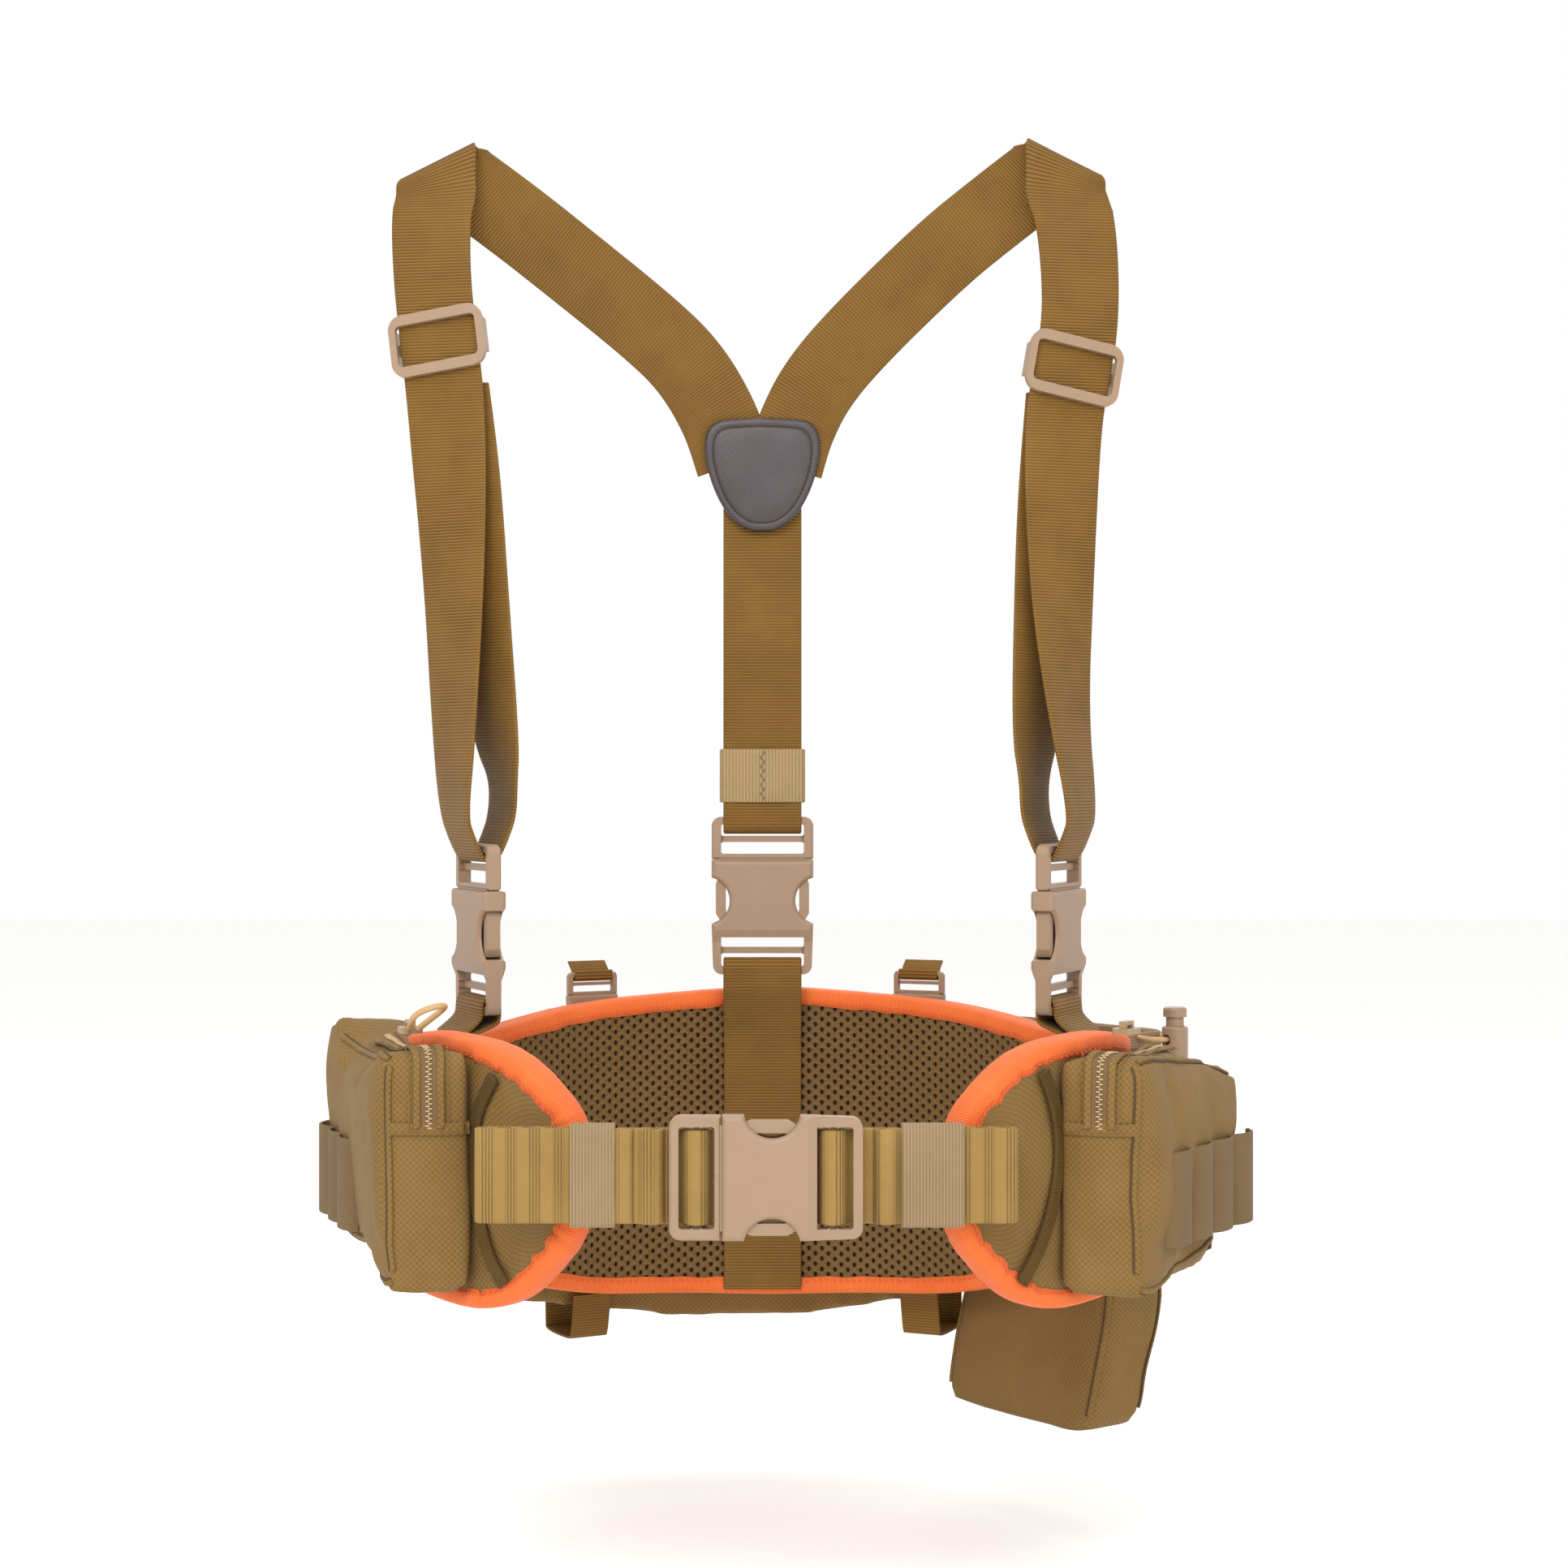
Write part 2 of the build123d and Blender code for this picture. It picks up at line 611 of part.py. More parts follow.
def zip_slider(seat):
    """Small zip slider: lower plate over the teeth, and a bridge for the pull."""
    with BuildPart() as slider:
        with Locations((0, 0, 1.6)):
            Box(9, 12, 2.4)
        with Locations((0, -3.4, 3.4), (0, 3.4, 3.4)):
            Box(3, 2, 2.2)
        with Locations((0, 0, 5.0)):
            Box(3, 8.8, 1.6)
        fillet(slider.edges().filter_by(Axis.Z).group_by(SortBy.DISTANCE)[-1], 1.6)
    return at_seat(slider.part, seat)


def along_zip(line, share, z):
    """Seat of a zip slider at a share of a zip's length, y along the zip."""
    (x0, y0), (x1, y1) = line
    run = Vector(x1 - x0, y1 - y0).normalized()
    place = Vector(x0 + (x1 - x0) * share, y0 + (y1 - y0) * share, z)
    return Plane(place, x_dir=(run.Y, -run.X, 0), z_dir=(0, 0, 1))


zip_top = side_pouch_top + gap + zip_thick
left_slider_seat = along_zip(left_mouth, 0.08, zip_top)
right_slider_seat = along_zip(right_mouth, 0.10, zip_top)
for name, seat in (("zip_slider_left", left_slider_seat), ("zip_slider_right", right_slider_seat)):
    with BuildPart() as zip_slider_here:
        add(zip_slider(seat))
    save(name, zip_slider_here.part)

# Cord loop on the left zip slider, in the slider's own frame: x across the zip, y to the rear, z up.
pull_route = [(-1.7, -6.9, 2.2), (-3, -13.5, 5), (-2, -20, 9.5), (3, -25, 12.5), (9, -24, 13.5),
              (11.5, -17.5, 12), (6.5, -10.5, 6.8), (1.7, -6.9, 2.2)]


def in_frame(seat, route):
    """Points of a route given in a seat's frame, as plain tuples in the part's frame."""
    return [tuple(seat.origin + seat.x_dir * x + seat.y_dir * y + seat.z_dir * z) for x, y, z in route]


pull_points = in_frame(left_slider_seat, pull_route)


def cord_tube(points, radius_share=0.45):
    """Round cord on straight runs joined by arcs as large as each pair of runs allows."""
    spots = [Vector(*p) for p in points]
    radii = []
    for a, b, c in zip(spots, spots[1:], spots[2:]):
        half_turn = radians((b - a).get_angle(c - b)) / 2
        radii.append(radius_share * min((b - a).length, (c - b).length) / (sin(half_turn) / cos(half_turn)))
    print("cord radii", [round(r, 1) for r in radii])
    with BuildPart() as tube:
        with BuildLine():
            route = FilletPolyline(*points, radius=radii)
        with BuildSketch(Plane(route @ 0, z_dir=route % 0)):
            Circle(cord_thick / 2)
        sweep()
    print("cord length", round(route.length, 1), "volume", round(tube.part.volume, 1),
          "section times length", round(pi * cord_thick ** 2 / 4 * route.length, 1))
    return tube.part


with BuildPart() as pull_cord_left:
    add(cord_tube(pull_points))
save("pull_cord_left", pull_cord_left.part)
print("pull cord", [tuple(round(v, 1) for v in p) for p in pull_points])

# ---------------------------------------------------------------- rear pouch and its straps
rear_angles = [-46, -36, -24, -12, 0, 12, 21, 29]
rear_bulge = [16, 27, 36, rear_deep, rear_deep, 38, 33, 26]


def rear_outline():
    """Footprint of the rear pouch: both faces follow the ring, deepest behind the spine."""
    inner = [ring(a, rear_offset)[0] for a in rear_angles]
    outer = [ring(a, rear_offset + b)[0] for a, b in zip(rear_angles, rear_bulge)]
    return [(p.X, p.Y) for p in inner] + [(p.X, p.Y) for p in outer[::-1]]


rear_mouth = [ring(a, rear_offset + 13)[0] for a in (-34, -17, 0, 12, 24)]
with BuildPart() as rear_pouch:
    with BuildSketch(Plane.XY.offset(rear_bottom)):
        with BuildLine():
            Polyline(*rear_outline(), close=True)
        make_face()
    extrude(amount=rear_top - rear_bottom)
    with BuildSketch(Plane.XY.offset(rear_bottom + pouch_wall)):
        with BuildLine():
            Polyline(*rear_outline(), close=True)
        make_face()
        offset(amount=-pouch_wall, kind=Kind.INTERSECTION)
    extrude(amount=rear_top - rear_bottom - 2 * pouch_wall, mode=Mode.SUBTRACT)
    with BuildSketch(Plane.XY.offset(rear_top - pouch_wall - 1)):
        with BuildLine():
            Polyline(*rear_mouth)
        trace(line_width=zip_wide - 6)
    extrude(amount=pouch_wall + 2, mode=Mode.SUBTRACT)
save("rear_pouch", rear_pouch.part)

with BuildPart() as rear_pouch_zip:
    with BuildSketch(Plane.XY.offset(rear_top + gap)):
        with BuildLine():
            Polyline(*rear_mouth)
        trace(line_width=zip_wide)
    extrude(amount=zip_thick)
save("rear_pouch_zip", rear_pouch_zip.part)

rear_zip_line = [(p.X, p.Y) for p in rear_mouth[1:3]]
rear_slider_seat = along_zip(rear_zip_line, 0.25, rear_top + gap + zip_thick)
with BuildPart() as zip_slider_rear:
    add(zip_slider(rear_slider_seat))
save("zip_slider_rear", zip_slider_rear.part)

small = small_web / web
rear_strap_x = {"left": -78.0, "right": 66.0}
rear_seam_z = 53.0


def rear_seat(where):
    """Frame of a rear strap's small buckle, upright in the gap between belt and pouch."""
    x = rear_strap_x[where]
    point, normal = ring(degrees(asin(x / ring_half_width)), belt_thick + 5.2)
    return Plane((point.X, point.Y, rear_seam_z), x_dir=(normal.Y, -normal.X, 0),
                 z_dir=(-normal.X, -normal.Y, 0))


for where in ("left", "right"):
    seat = rear_seat(where)
    with BuildPart() as rear_plug:
        add(at_seat(plug, seat, small))
    save(f"rear_buckle_plug_{where}", rear_plug.part)
    for shape, place in ((prong_left, "outer" if where == "left" else "inner"),
                         (prong_right, "inner" if where == "left" else "outer")):
        with BuildPart() as rear_prong:
            add(at_seat(shape, seat, small))
        save(f"rear_prong_{where}_{place}", rear_prong.part)
    with BuildPart() as rear_strap_top:
        add(folded_web(seat, [(plug_length + 6, -11), (plug_length + 1.5, -4.2)]
                       + end_wrap(plug_length, 1)[::-1] + [(plug_length + 3, 4.2)], small))
    save(f"rear_strap_top_{where}", rear_strap_top.part)

with BuildPart() as rear_buckle_sockets:
    for where in ("left", "right"):
        add(at_seat(socket, rear_seat(where), small))
save("rear_buckle_sockets", rear_buckle_sockets.part)


def rear_strap_depth(where):
    """How far behind its buckle's frame the back face of the rear pouch is, at this strap."""
    angle = degrees(asin(rear_strap_x[where] / ring_half_width))
    for (a0, b0), (a1, b1) in zip(zip(rear_angles, rear_bulge), zip(rear_angles[1:], rear_bulge[1:])):
        if a0 <= angle <= a1:
            return rear_offset - belt_thick - 5.2 + b0 + (b1 - b0) * (angle - a0) / (a1 - a0)
    return rear_offset - belt_thick - 5.2 + rear_bulge[-1]


with BuildPart() as rear_webbing:
    for where in ("left", "right"):
        seat = rear_seat(where)
        deep = (rear_strap_depth(where) + 2.6) / small
        top = (rear_top + zip_thick + 3.4 - rear_seam_z) / small
        bottom = (rear_bottom - 2.0 - rear_seam_z) / small
        foot = (belt_low(35) - 4 - rear_seam_z) / small
        add(folded_web(seat, [(top, -22 / small), (top, -deep), (bottom, -deep), (bottom, -3 / small),
                              (foot, 1 / small)], small))
save("rear_webbing", rear_webbing.part)

# ---------------------------------------------------------------- hanging pouch
facing = Vector(cos(radians(hang_angle)), sin(radians(hang_angle)))
sideways = Vector(-facing.Y, facing.X)
hang_reach = hypot(ring_half_width * facing.X, ring_half_depth * facing.Y) + pouch_offset + gap
hang_shift = -8.0
hang_tuck = 16.0        # how far the bottom hangs in under the belt
hang_kink = belt_low(60) - 10


def hang_plane(z, reach):
    """Level plane centred on the hanging pouch, x along its face and y inward."""
    centre = facing * (reach + hang_deep / 2) + sideways * hang_shift
    return Plane((centre.X, centre.Y, z), x_dir=sideways, z_dir=(0, 0, 1))


def hang_body(inset, bottom, top):
    """Solid of the hanging pouch, drawn in by an inset on every side."""
    levels = [(top, 0), (hang_kink, 0), (bottom, hang_tuck)]
    with BuildPart() as body:
        for z, tuck in levels:
            with BuildSketch(hang_plane(z, hang_reach - tuck)):
                Rectangle(hang_wide - 2 * inset, hang_deep - 2 * inset)
        loft(ruled=True)
    return body.part


with BuildPart() as hanging_pouch:
    add(hang_body(0, hang_bottom, hang_top))
    add(hang_body(pouch_wall, hang_bottom + pouch_wall, hang_top + 0.01), mode=Mode.SUBTRACT)
save("hanging_pouch", hanging_pouch.part)

hem_tall = 8.0
with BuildPart() as hanging_hem:
    with BuildSketch(hang_plane(hang_top + gap, hang_reach)):
        RectangleRounded(hang_wide, hang_deep, 6)
        RectangleRounded(hang_wide - 10, hang_deep - 10, 3, mode=Mode.SUBTRACT)
    extrude(amount=hem_tall)
save("hanging_hem", hanging_hem.part)

# The drawcord makes one loop out of the hem's front end, through the cord lock and back.
lock_radius = 6.0
lock_long = 15.0
lock_reach = 17.0
lock_side = 5.0
lock_z = hang_top + gap + hem_tall / 2
lock_hole_z = 1.5
hem_end = hang_plane(lock_z, hang_reach).origin - sideways * hang_wide / 2 + facing * lock_side
lock_seat = Plane(hem_end - sideways * lock_reach, x_dir=facing, z_dir=(0, 0, 1))
with BuildPart() as cord_lock_body:
    with BuildSketch(Plane.XY.offset(-lock_long / 2)):
        Circle(lock_radius)
    extrude(amount=lock_long)
    fillet(cord_lock_body.edges().filter_by(GeomType.CIRCLE), 1.0)
    with Locations((0, 0, 1.6)):
        Cylinder(lock_radius - 1.6, lock_long, mode=Mode.SUBTRACT)
    with Locations((0, 0, lock_hole_z)):
        Cylinder(cord_thick / 2 + 4 * gap, 3 * lock_radius, rotation=(0, 90, 0), mode=Mode.SUBTRACT)
save("cord_lock_body", at_seat(cord_lock_body.part, lock_seat))

plunger_travel = 2.5
plunger_radius = lock_radius - 1.6 - gap
with BuildPart() as cord_lock_plunger:
    with Locations((0, 0, 5.0)):
        Cylinder(plunger_radius, 14.0)
    with Locations((0, 0, 14.2)):
        Cylinder(lock_radius - 0.6, 4.4)
    fillet(cord_lock_plunger.edges().group_by(Axis.Z)[-1], 1.2)
    slot_top = lock_hole_z + cord_thick / 2 + gap + plunger_travel
    with Locations((0, 0, (slot_top - 3.0) / 2)):
        Box(20, cord_thick + 4 * gap, slot_top + 3.0, mode=Mode.SUBTRACT)
save("cord_lock_plunger", at_seat(cord_lock_plunger.part, lock_seat))

with BuildPart() as cord_lock_spring:
    for turn in range(2):
        with Locations((0, 0, -4.6 + 1.5 * turn)):
            Torus(2.9, 0.45)
save("cord_lock_spring", at_seat(cord_lock_spring.part, lock_seat))

# Route in the lock's own frame: x across the pouch's end, y from the hem's end outward.
drawcord_route = [(-7, -lock_reach + 0.9), (-10.5, -lock_reach + 7), (-10, -4.5), (-5, 0), (5, 0), (10, -4.5),
                  (10.5, -lock_reach + 7), (7, -lock_reach + 0.9)]
drawcord_points = [lock_seat.origin + facing * x - sideways * y + Vector(0, 0, lock_hole_z)
                   for x, y in drawcord_route]
with BuildPart() as drawcord:
    add(cord_tube([tuple(p) for p in drawcord_points]))
save("drawcord", drawcord.part)
print("drawcord", [tuple(round(v, 1) for v in p) for p in drawcord_points])
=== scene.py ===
# %% [markdown]
# # A waist-belt pack with a webbing harness
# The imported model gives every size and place. Its plastic buckles stay as they are and get a material.
# Everything sewn is made again here as a surface: a few numbers describe a path or a section, numpy works
# out all the points at once, and the mesh is filled in one call. That keeps each piece easy to change.

# %% Load the frame
import json
import math
import bpy
import numpy as np
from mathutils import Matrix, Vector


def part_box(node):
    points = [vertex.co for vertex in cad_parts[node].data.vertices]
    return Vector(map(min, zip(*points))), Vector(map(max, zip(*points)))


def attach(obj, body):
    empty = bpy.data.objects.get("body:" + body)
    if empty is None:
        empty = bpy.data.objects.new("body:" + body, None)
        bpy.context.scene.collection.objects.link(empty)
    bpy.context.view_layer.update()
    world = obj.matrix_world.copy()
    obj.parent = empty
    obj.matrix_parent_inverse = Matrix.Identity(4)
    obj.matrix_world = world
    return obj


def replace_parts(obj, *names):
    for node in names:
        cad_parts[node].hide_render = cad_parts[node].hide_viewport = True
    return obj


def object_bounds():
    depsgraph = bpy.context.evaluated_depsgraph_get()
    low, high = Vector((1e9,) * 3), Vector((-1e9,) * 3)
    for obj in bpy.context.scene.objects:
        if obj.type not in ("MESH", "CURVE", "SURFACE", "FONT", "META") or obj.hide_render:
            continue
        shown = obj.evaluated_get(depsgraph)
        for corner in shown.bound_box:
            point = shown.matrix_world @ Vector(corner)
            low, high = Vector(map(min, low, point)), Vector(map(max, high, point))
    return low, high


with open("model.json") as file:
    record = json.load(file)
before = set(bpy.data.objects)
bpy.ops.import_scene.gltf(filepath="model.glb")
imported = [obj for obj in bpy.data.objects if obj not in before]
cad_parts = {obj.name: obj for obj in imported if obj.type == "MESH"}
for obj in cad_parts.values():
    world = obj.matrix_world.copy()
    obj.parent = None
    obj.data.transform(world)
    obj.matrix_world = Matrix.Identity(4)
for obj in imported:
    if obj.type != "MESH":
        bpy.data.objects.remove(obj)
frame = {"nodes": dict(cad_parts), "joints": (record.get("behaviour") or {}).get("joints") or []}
cad_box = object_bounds()
MM = 0.001
joints = {joint["name"]: joint for joint in frame["joints"]}

# %% [markdown]
# ## Camera, floor and light
# The object was seen from straight ahead at chest height, a little over a metre away, so a 64 mm lens on a
# 36 mm sensor gives the same perspective. Four large soft lights stand in for a product photographer's tent.

# %% Camera, floor and light
scene = bpy.context.scene
lens = bpy.data.cameras.new("camera")
lens.lens = 64.3
lens.sensor_width = 36
camera = bpy.data.objects.new("camera", lens)
camera.location = (0.007, -1.248, 0.156)
camera.rotation_euler = (math.pi / 2, 0, 0)
scene.collection.objects.link(camera)
scene.camera = camera
scene.view_settings.view_transform = "Standard"


def srgb(code):
    """Linear colour of an sRGB hex code: each channel over 255, then ((c + 0.055) / 1.055) to the 2.4."""
    parts = [int(code[i:i + 2], 16) / 255 for i in (0, 2, 4)]
    return tuple(p / 12.92 if p <= 0.04045 else ((p + 0.055) / 1.055) ** 2.4 for p in parts) + (1.0,)


def node(tree, kind, settings=None, **links):
    """Add one shader node: settings are its properties, links its inputs by name or In0, In1 and so on.
    A link is a value or another node's output socket."""
    made = tree.nodes.new(kind)
    for name, value in (settings or {}).items():
        setattr(made, name, value)
    for name, value in links.items():
        key = int(name[2:]) if name[:2] == "In" and name[2:].isdigit() else name.replace("_", " ")
        if isinstance(value, bpy.types.NodeSocket):
            tree.links.new(value, made.inputs[key])
        else:
            made.inputs[key].default_value = value
    return made


def scaled(tree, value, factor, offset=0.0):
    """A value times a factor, plus an offset; the factor and offset can be sockets too."""
    return node(tree, "ShaderNodeMath", {"operation": "MULTIPLY_ADD"}, In0=value, In1=factor, In2=offset).outputs[0]


def area_light(name, place, size, power, target):
    """Soft rectangular lamp of a size in metres that faces a target point."""
    lamp = bpy.data.lights.new(name, "AREA")
    lamp.size = size
    lamp.energy = power
    holder = bpy.data.objects.new(name, lamp)
    holder.location = place
    aim = np.array(target) - np.array(place)
    pitch = math.acos(-aim[2] / np.linalg.norm(aim))
    holder.rotation_euler = (pitch, 0, math.atan2(aim[1], aim[0]) - math.pi / 2)
    scene.collection.objects.link(holder)


middle = (0, 0, 0.12)
area_light("key", (-0.4, -1.6, 1.2), 1.0, 20, middle)
area_light("fill", (0.7, -1.6, 0.4), 1.2, 6, middle)
area_light("top", (0.1, 0.1, 1.7), 1.4, 8, middle)
area_light("back", (0.2, 1.5, 0.9), 1.2, 5, middle)

world = bpy.data.worlds.new("studio")
world.use_nodes = True
world.node_tree.nodes["Background"].inputs[0].default_value = (1, 1, 1, 1)
world.node_tree.nodes["Background"].inputs[1].default_value = 1.0
scene.world = world

floor_z = cad_box[0][2] - 0.05
floor_data = bpy.data.meshes.new("floor")
floor_corners = [(-4, -3, floor_z), (4, -3, floor_z), (4, 6, floor_z), (-4, 6, floor_z)]
floor_data.from_pydata(floor_corners, [], [(0, 1, 2, 3)])
floor = bpy.data.objects.new("floor", floor_data)
scene.collection.objects.link(floor)
paper = bpy.data.materials.new("matt_white_paper")
paper.use_nodes = True
paper.node_tree.nodes["Principled BSDF"].inputs["Base Color"].default_value = srgb("FBFAF8")
paper.node_tree.nodes["Principled BSDF"].inputs["Roughness"].default_value = 0.9
floor_data.materials.append(paper)

# %% [markdown]
# ## Finishes
# Every woven finish reads the piece's own UV map, which is in centimetres along and across the cloth, so a
# thread has the same size on every piece. A finish is two things: a height between threads, for bump and
# for the dark lines where light doesn't reach, and a slow noise for how dye and handling vary.

# %% Shared parts of a finish
CM = 100.0      # UV units in a metre


def finish(name):
    """New material with its node tree and its one surface shader."""
    material = bpy.data.materials.new(name)
    material.use_nodes = True
    tree = material.node_tree
    return material, tree, tree.nodes["Principled BSDF"]


def wave(tree, value, pitch_mm):
    """Height from 0 to 1 that repeats every pitch: one half plus half the sine of 2 pi u over the pitch."""
    turns = scaled(tree, value, 2 * math.pi * 10 / pitch_mm)
    sine = node(tree, "ShaderNodeMath", {"operation": "SINE"}, In0=turns)
    return scaled(tree, sine.outputs[0], 0.5, 0.5)


def blend_colours(tree, share, low, high):
    """Colour between two sRGB hex colours, or colour sockets, by a share from 0 to 1."""
    low, high = [srgb(c) if isinstance(c, str) else c for c in (low, high)]
    return node(tree, "ShaderNodeMix", {"data_type": "RGBA"}, In0=share, In6=low, In7=high).outputs[2]


def uv_axes(tree):
    """The two UV values of the piece, along and across its cloth, in centimetres."""
    uv = node(tree, "ShaderNodeUVMap", {"uv_map": "cloth"})
    parts = node(tree, "ShaderNodeSeparateXYZ", In0=uv.outputs[0])
    return uv.outputs[0], parts.outputs[0], parts.outputs[1]


def patches(tree, size_mm, seed=0.0):
    """Slow cloudy noise on object coordinates with patches of this size."""
    place = node(tree, "ShaderNodeTexCoord").outputs["Object"]
    moved = node(tree, "ShaderNodeMapping", In1=(seed, seed, seed), Vector=place)
    return node(tree, "ShaderNodeTexNoise", None, Vector=moved.outputs[0], Scale=1000 / size_mm,
                Detail=3.0, Roughness=0.6).outputs[0]


def cloth_finish(name, height, colours, roughness, sheen, bump_mm, cloud=(28, 0.22)):
    """Woven surface: height is a function of (tree, u, v); colours run dark gap, thread, worn highlight; cloud
    is the size of the worn patches in millimetres and how strongly they show."""
    material, tree, shader = finish(name)
    uv, u, v = uv_axes(tree)
    threads = height(tree, u, v)
    fuzz = node(tree, "ShaderNodeTexNoise", None, Vector=uv, Scale=34.0, Detail=2.0).outputs[0]
    gap, thread, worn = colours
    tint = blend_colours(tree, threads, gap, thread)
    patch_mm, worn_share = cloud
    tint = blend_colours(tree, scaled(tree, patches(tree, patch_mm), worn_share * 2), tint, worn)
    tint = blend_colours(tree, scaled(tree, fuzz, 0.16), tint, gap)
    relief = scaled(tree, fuzz, 0.35, threads)
    bump = node(tree, "ShaderNodeBump", None, Strength=0.75, Distance=bump_mm * MM, Height=relief)
    tree.links.new(tint, shader.inputs["Base Color"])
    tree.links.new(bump.outputs[0], shader.inputs["Normal"])
    shader.inputs["Roughness"].default_value = roughness
    shader.inputs["Sheen Weight"].default_value = sheen
    shader.inputs["Sheen Roughness"].default_value = 0.45
    shader.inputs["IOR"].default_value = 1.5
    shader.inputs["Specular IOR Level"].default_value = 0.25
    return material


def across_ribs(pitch_mm, cord_mm=0.55):
    """Ribs across the webbing, each a row of tiny yarn loops."""
    def height(tree, u, v):
        ribs = wave(tree, u, pitch_mm)
        loops = wave(tree, v, cord_mm)
        return scaled(tree, ribs, scaled(tree, loops, 0.25, 0.75))
    return height


def basket(pitch_u, pitch_v):
    """Plain weave: threads show in a chequer, height is one half plus half the product of two sines."""
    def height(tree, u, v):
        a, b = wave(tree, u, pitch_u), wave(tree, v, pitch_v)
        product = scaled(tree, scaled(tree, a, 2.0, -1.0), scaled(tree, b, 2.0, -1.0))
        return scaled(tree, product, 0.5, 0.5)
    return height


def along_lines(pitch_mm, cord_mm=0.8):
    """Fine cords along the cloth, each a row of tiny yarn loops."""
    def height(tree, u, v):
        return across_ribs(pitch_mm, cord_mm)(tree, v, u)
    return height


def zoned(pitch_mm, cord_mm, repeat_mm):
    """Ribs across the webbing that give way to flatter chevrons once in every repeat."""
    def height(tree, u, v):
        ribs, chevrons = across_ribs(pitch_mm, cord_mm)(tree, u, v), basket(1.2, 1.6)(tree, u, v)
        zone = node(tree, "ShaderNodeMapRange", {"interpolation_type": "SMOOTHSTEP"},
                    Value=wave(tree, u, repeat_mm), From_Min=0.4, From_Max=0.6).outputs[0]
        lifted = scaled(tree, chevrons, 0.5, 0.5)
        return node(tree, "ShaderNodeMix", {"data_type": "FLOAT"}, In0=zone, In2=ribs, In3=lifted).outputs[0]
    return height


# %% [markdown]
# ## The cloths
# Harness webbing is heavy nylon with ribs every 1.45 mm. The canvas is a coarse plain weave of cotton-look
# polyester, about 1.3 mm between thread crossings. Grosgrain binding is dyed signal orange. Nylon and
# polyester both sit near an IOR of 1.5 and are rough, with a little sheen from loose fibre.

# %% Cloth materials
WEB_PITCH = 1.45
webbing_mat = cloth_finish("nylon_webbing_coyote", across_ribs(WEB_PITCH),
                           ("3E2807", "865F1E", "A07732"), 0.66, 0.05, 0.3)
waist_mat = cloth_finish("nylon_webbing_waist", zoned(1.25, 0.7, 9.4),
                         ("4E3613", "95753B", "B49452"), 0.6, 0.06, 0.3)
canvas_mat = cloth_finish("polyester_canvas_khaki", basket(2.6, 2.6),
                          ("57401B", "806232", "90713F"), 0.82, 0.04, 0.22, (35, 0.3))
binding_mat = cloth_finish("grosgrain_orange", across_ribs(1.1, 1.0),
                           ("C34916", "EF6F30", "F98F48"), 0.7, 0.08, 0.2)
tape_mat = cloth_finish("grosgrain_olive", across_ribs(1.1, 1.0),
                        ("2B1F05", "5E4314", "77581F"), 0.7, 0.05, 0.25)
elastic_mat = cloth_finish("woven_elastic_sand", along_lines(1.3, 0.8),
                           ("6B573A", "9A8060", "AA9273"), 0.75, 0.05, 0.25)
zip_tape_mat = cloth_finish("zip_tape_brown", basket(0.9, 1.4),
                            ("4E381F", "7A5E3E", "91764F"), 0.75, 0.05, 0.12)
elastic_rib_mat = cloth_finish("woven_elastic_rib", across_ribs(1.6, 0.9),
                               ("75603C", "A88D64", "BCA278"), 0.75, 0.05, 0.25)
loop_mat = cloth_finish("woven_elastic_khaki", basket(1.5, 1.0),
                        ("513E25", "78603F", "8A714D"), 0.78, 0.05, 0.2)
mesh_mat = cloth_finish("spacer_mesh_knit", basket(1.1, 0.9),
                        ("513A1A", "775930", "8A6B40"), 0.75, 0.05, 0.12)


def plain_finish(name, colour, second, roughness, grain_mm, bump_mm, ior=1.5, metallic=0.0):
    """Moulded, coated or leather surface: two close colours in soft patches and a fine grain."""
    material, tree, shader = finish(name)
    tint = blend_colours(tree, scaled(tree, patches(tree, 14), 0.7), colour, second)
    grain = patches(tree, grain_mm, 3.0)
    bump = node(tree, "ShaderNodeBump", None, Strength=0.5, Distance=bump_mm * MM, Height=grain)
    rough = scaled(tree, grain, 0.2, roughness - 0.1)
    tree.links.new(tint, shader.inputs["Base Color"])
    tree.links.new(rough, shader.inputs["Roughness"])
    tree.links.new(bump.outputs[0], shader.inputs["Normal"])
    shader.inputs["Metallic"].default_value = metallic
    shader.inputs["IOR"].default_value = ior
    return material


acetal_mat = plain_finish("moulded_acetal_tan", "8E745B", "9A7F66", 0.45, 0.5, 0.05, 1.48)
leather_mat = plain_finish("embossed_leather_brown", "33292B", "453A3C", 0.42, 1.2, 0.25, 1.5)
foam_mat = plain_finish("dark_foam", "2B2014", "3A2B1B", 0.9, 1.0, 0.2)
thread_mat = plain_finish("bonded_thread_olive", "6A5228", "7F6638", 0.6, 0.4, 0.05)
orange_thread_mat = plain_finish("bonded_thread_orange", "D9501F", "EE6A38", 0.6, 0.4, 0.05)
brown_thread_mat = plain_finish("waxed_thread_brown", "241C18", "382C26", 0.5, 0.4, 0.05)
teeth_mat = plain_finish("nylon_coil_tan", "A98D63", "BBA078", 0.45, 0.4, 0.03)
slider_mat = plain_finish("painted_zinc_tan", "8E7450", "A58A62", 0.4, 0.5, 0.04)
cord_mat = plain_finish("braided_cord_tan", "B08A58", "CDA878", 0.6, 0.6, 0.15)
groove_mat = plain_finish("canvas_in_shade", "463820", "524329", 0.9, 0.6, 0.05)
steel_mat = plain_finish("spring_steel", "8C8C88", "A0A09C", 0.3, 0.5, 0.02, 1.5, 1.0)

# %% [markdown]
# ## From numbers to a mesh
# A sheet is a grid of points with a UV at each. One helper turns a grid into an object, closing it round
# when its section is a loop, and rides it on its body. A path is smoothed by cutting its corners three
# times, which ends in a quadratic curve, and is then sampled at even steps.


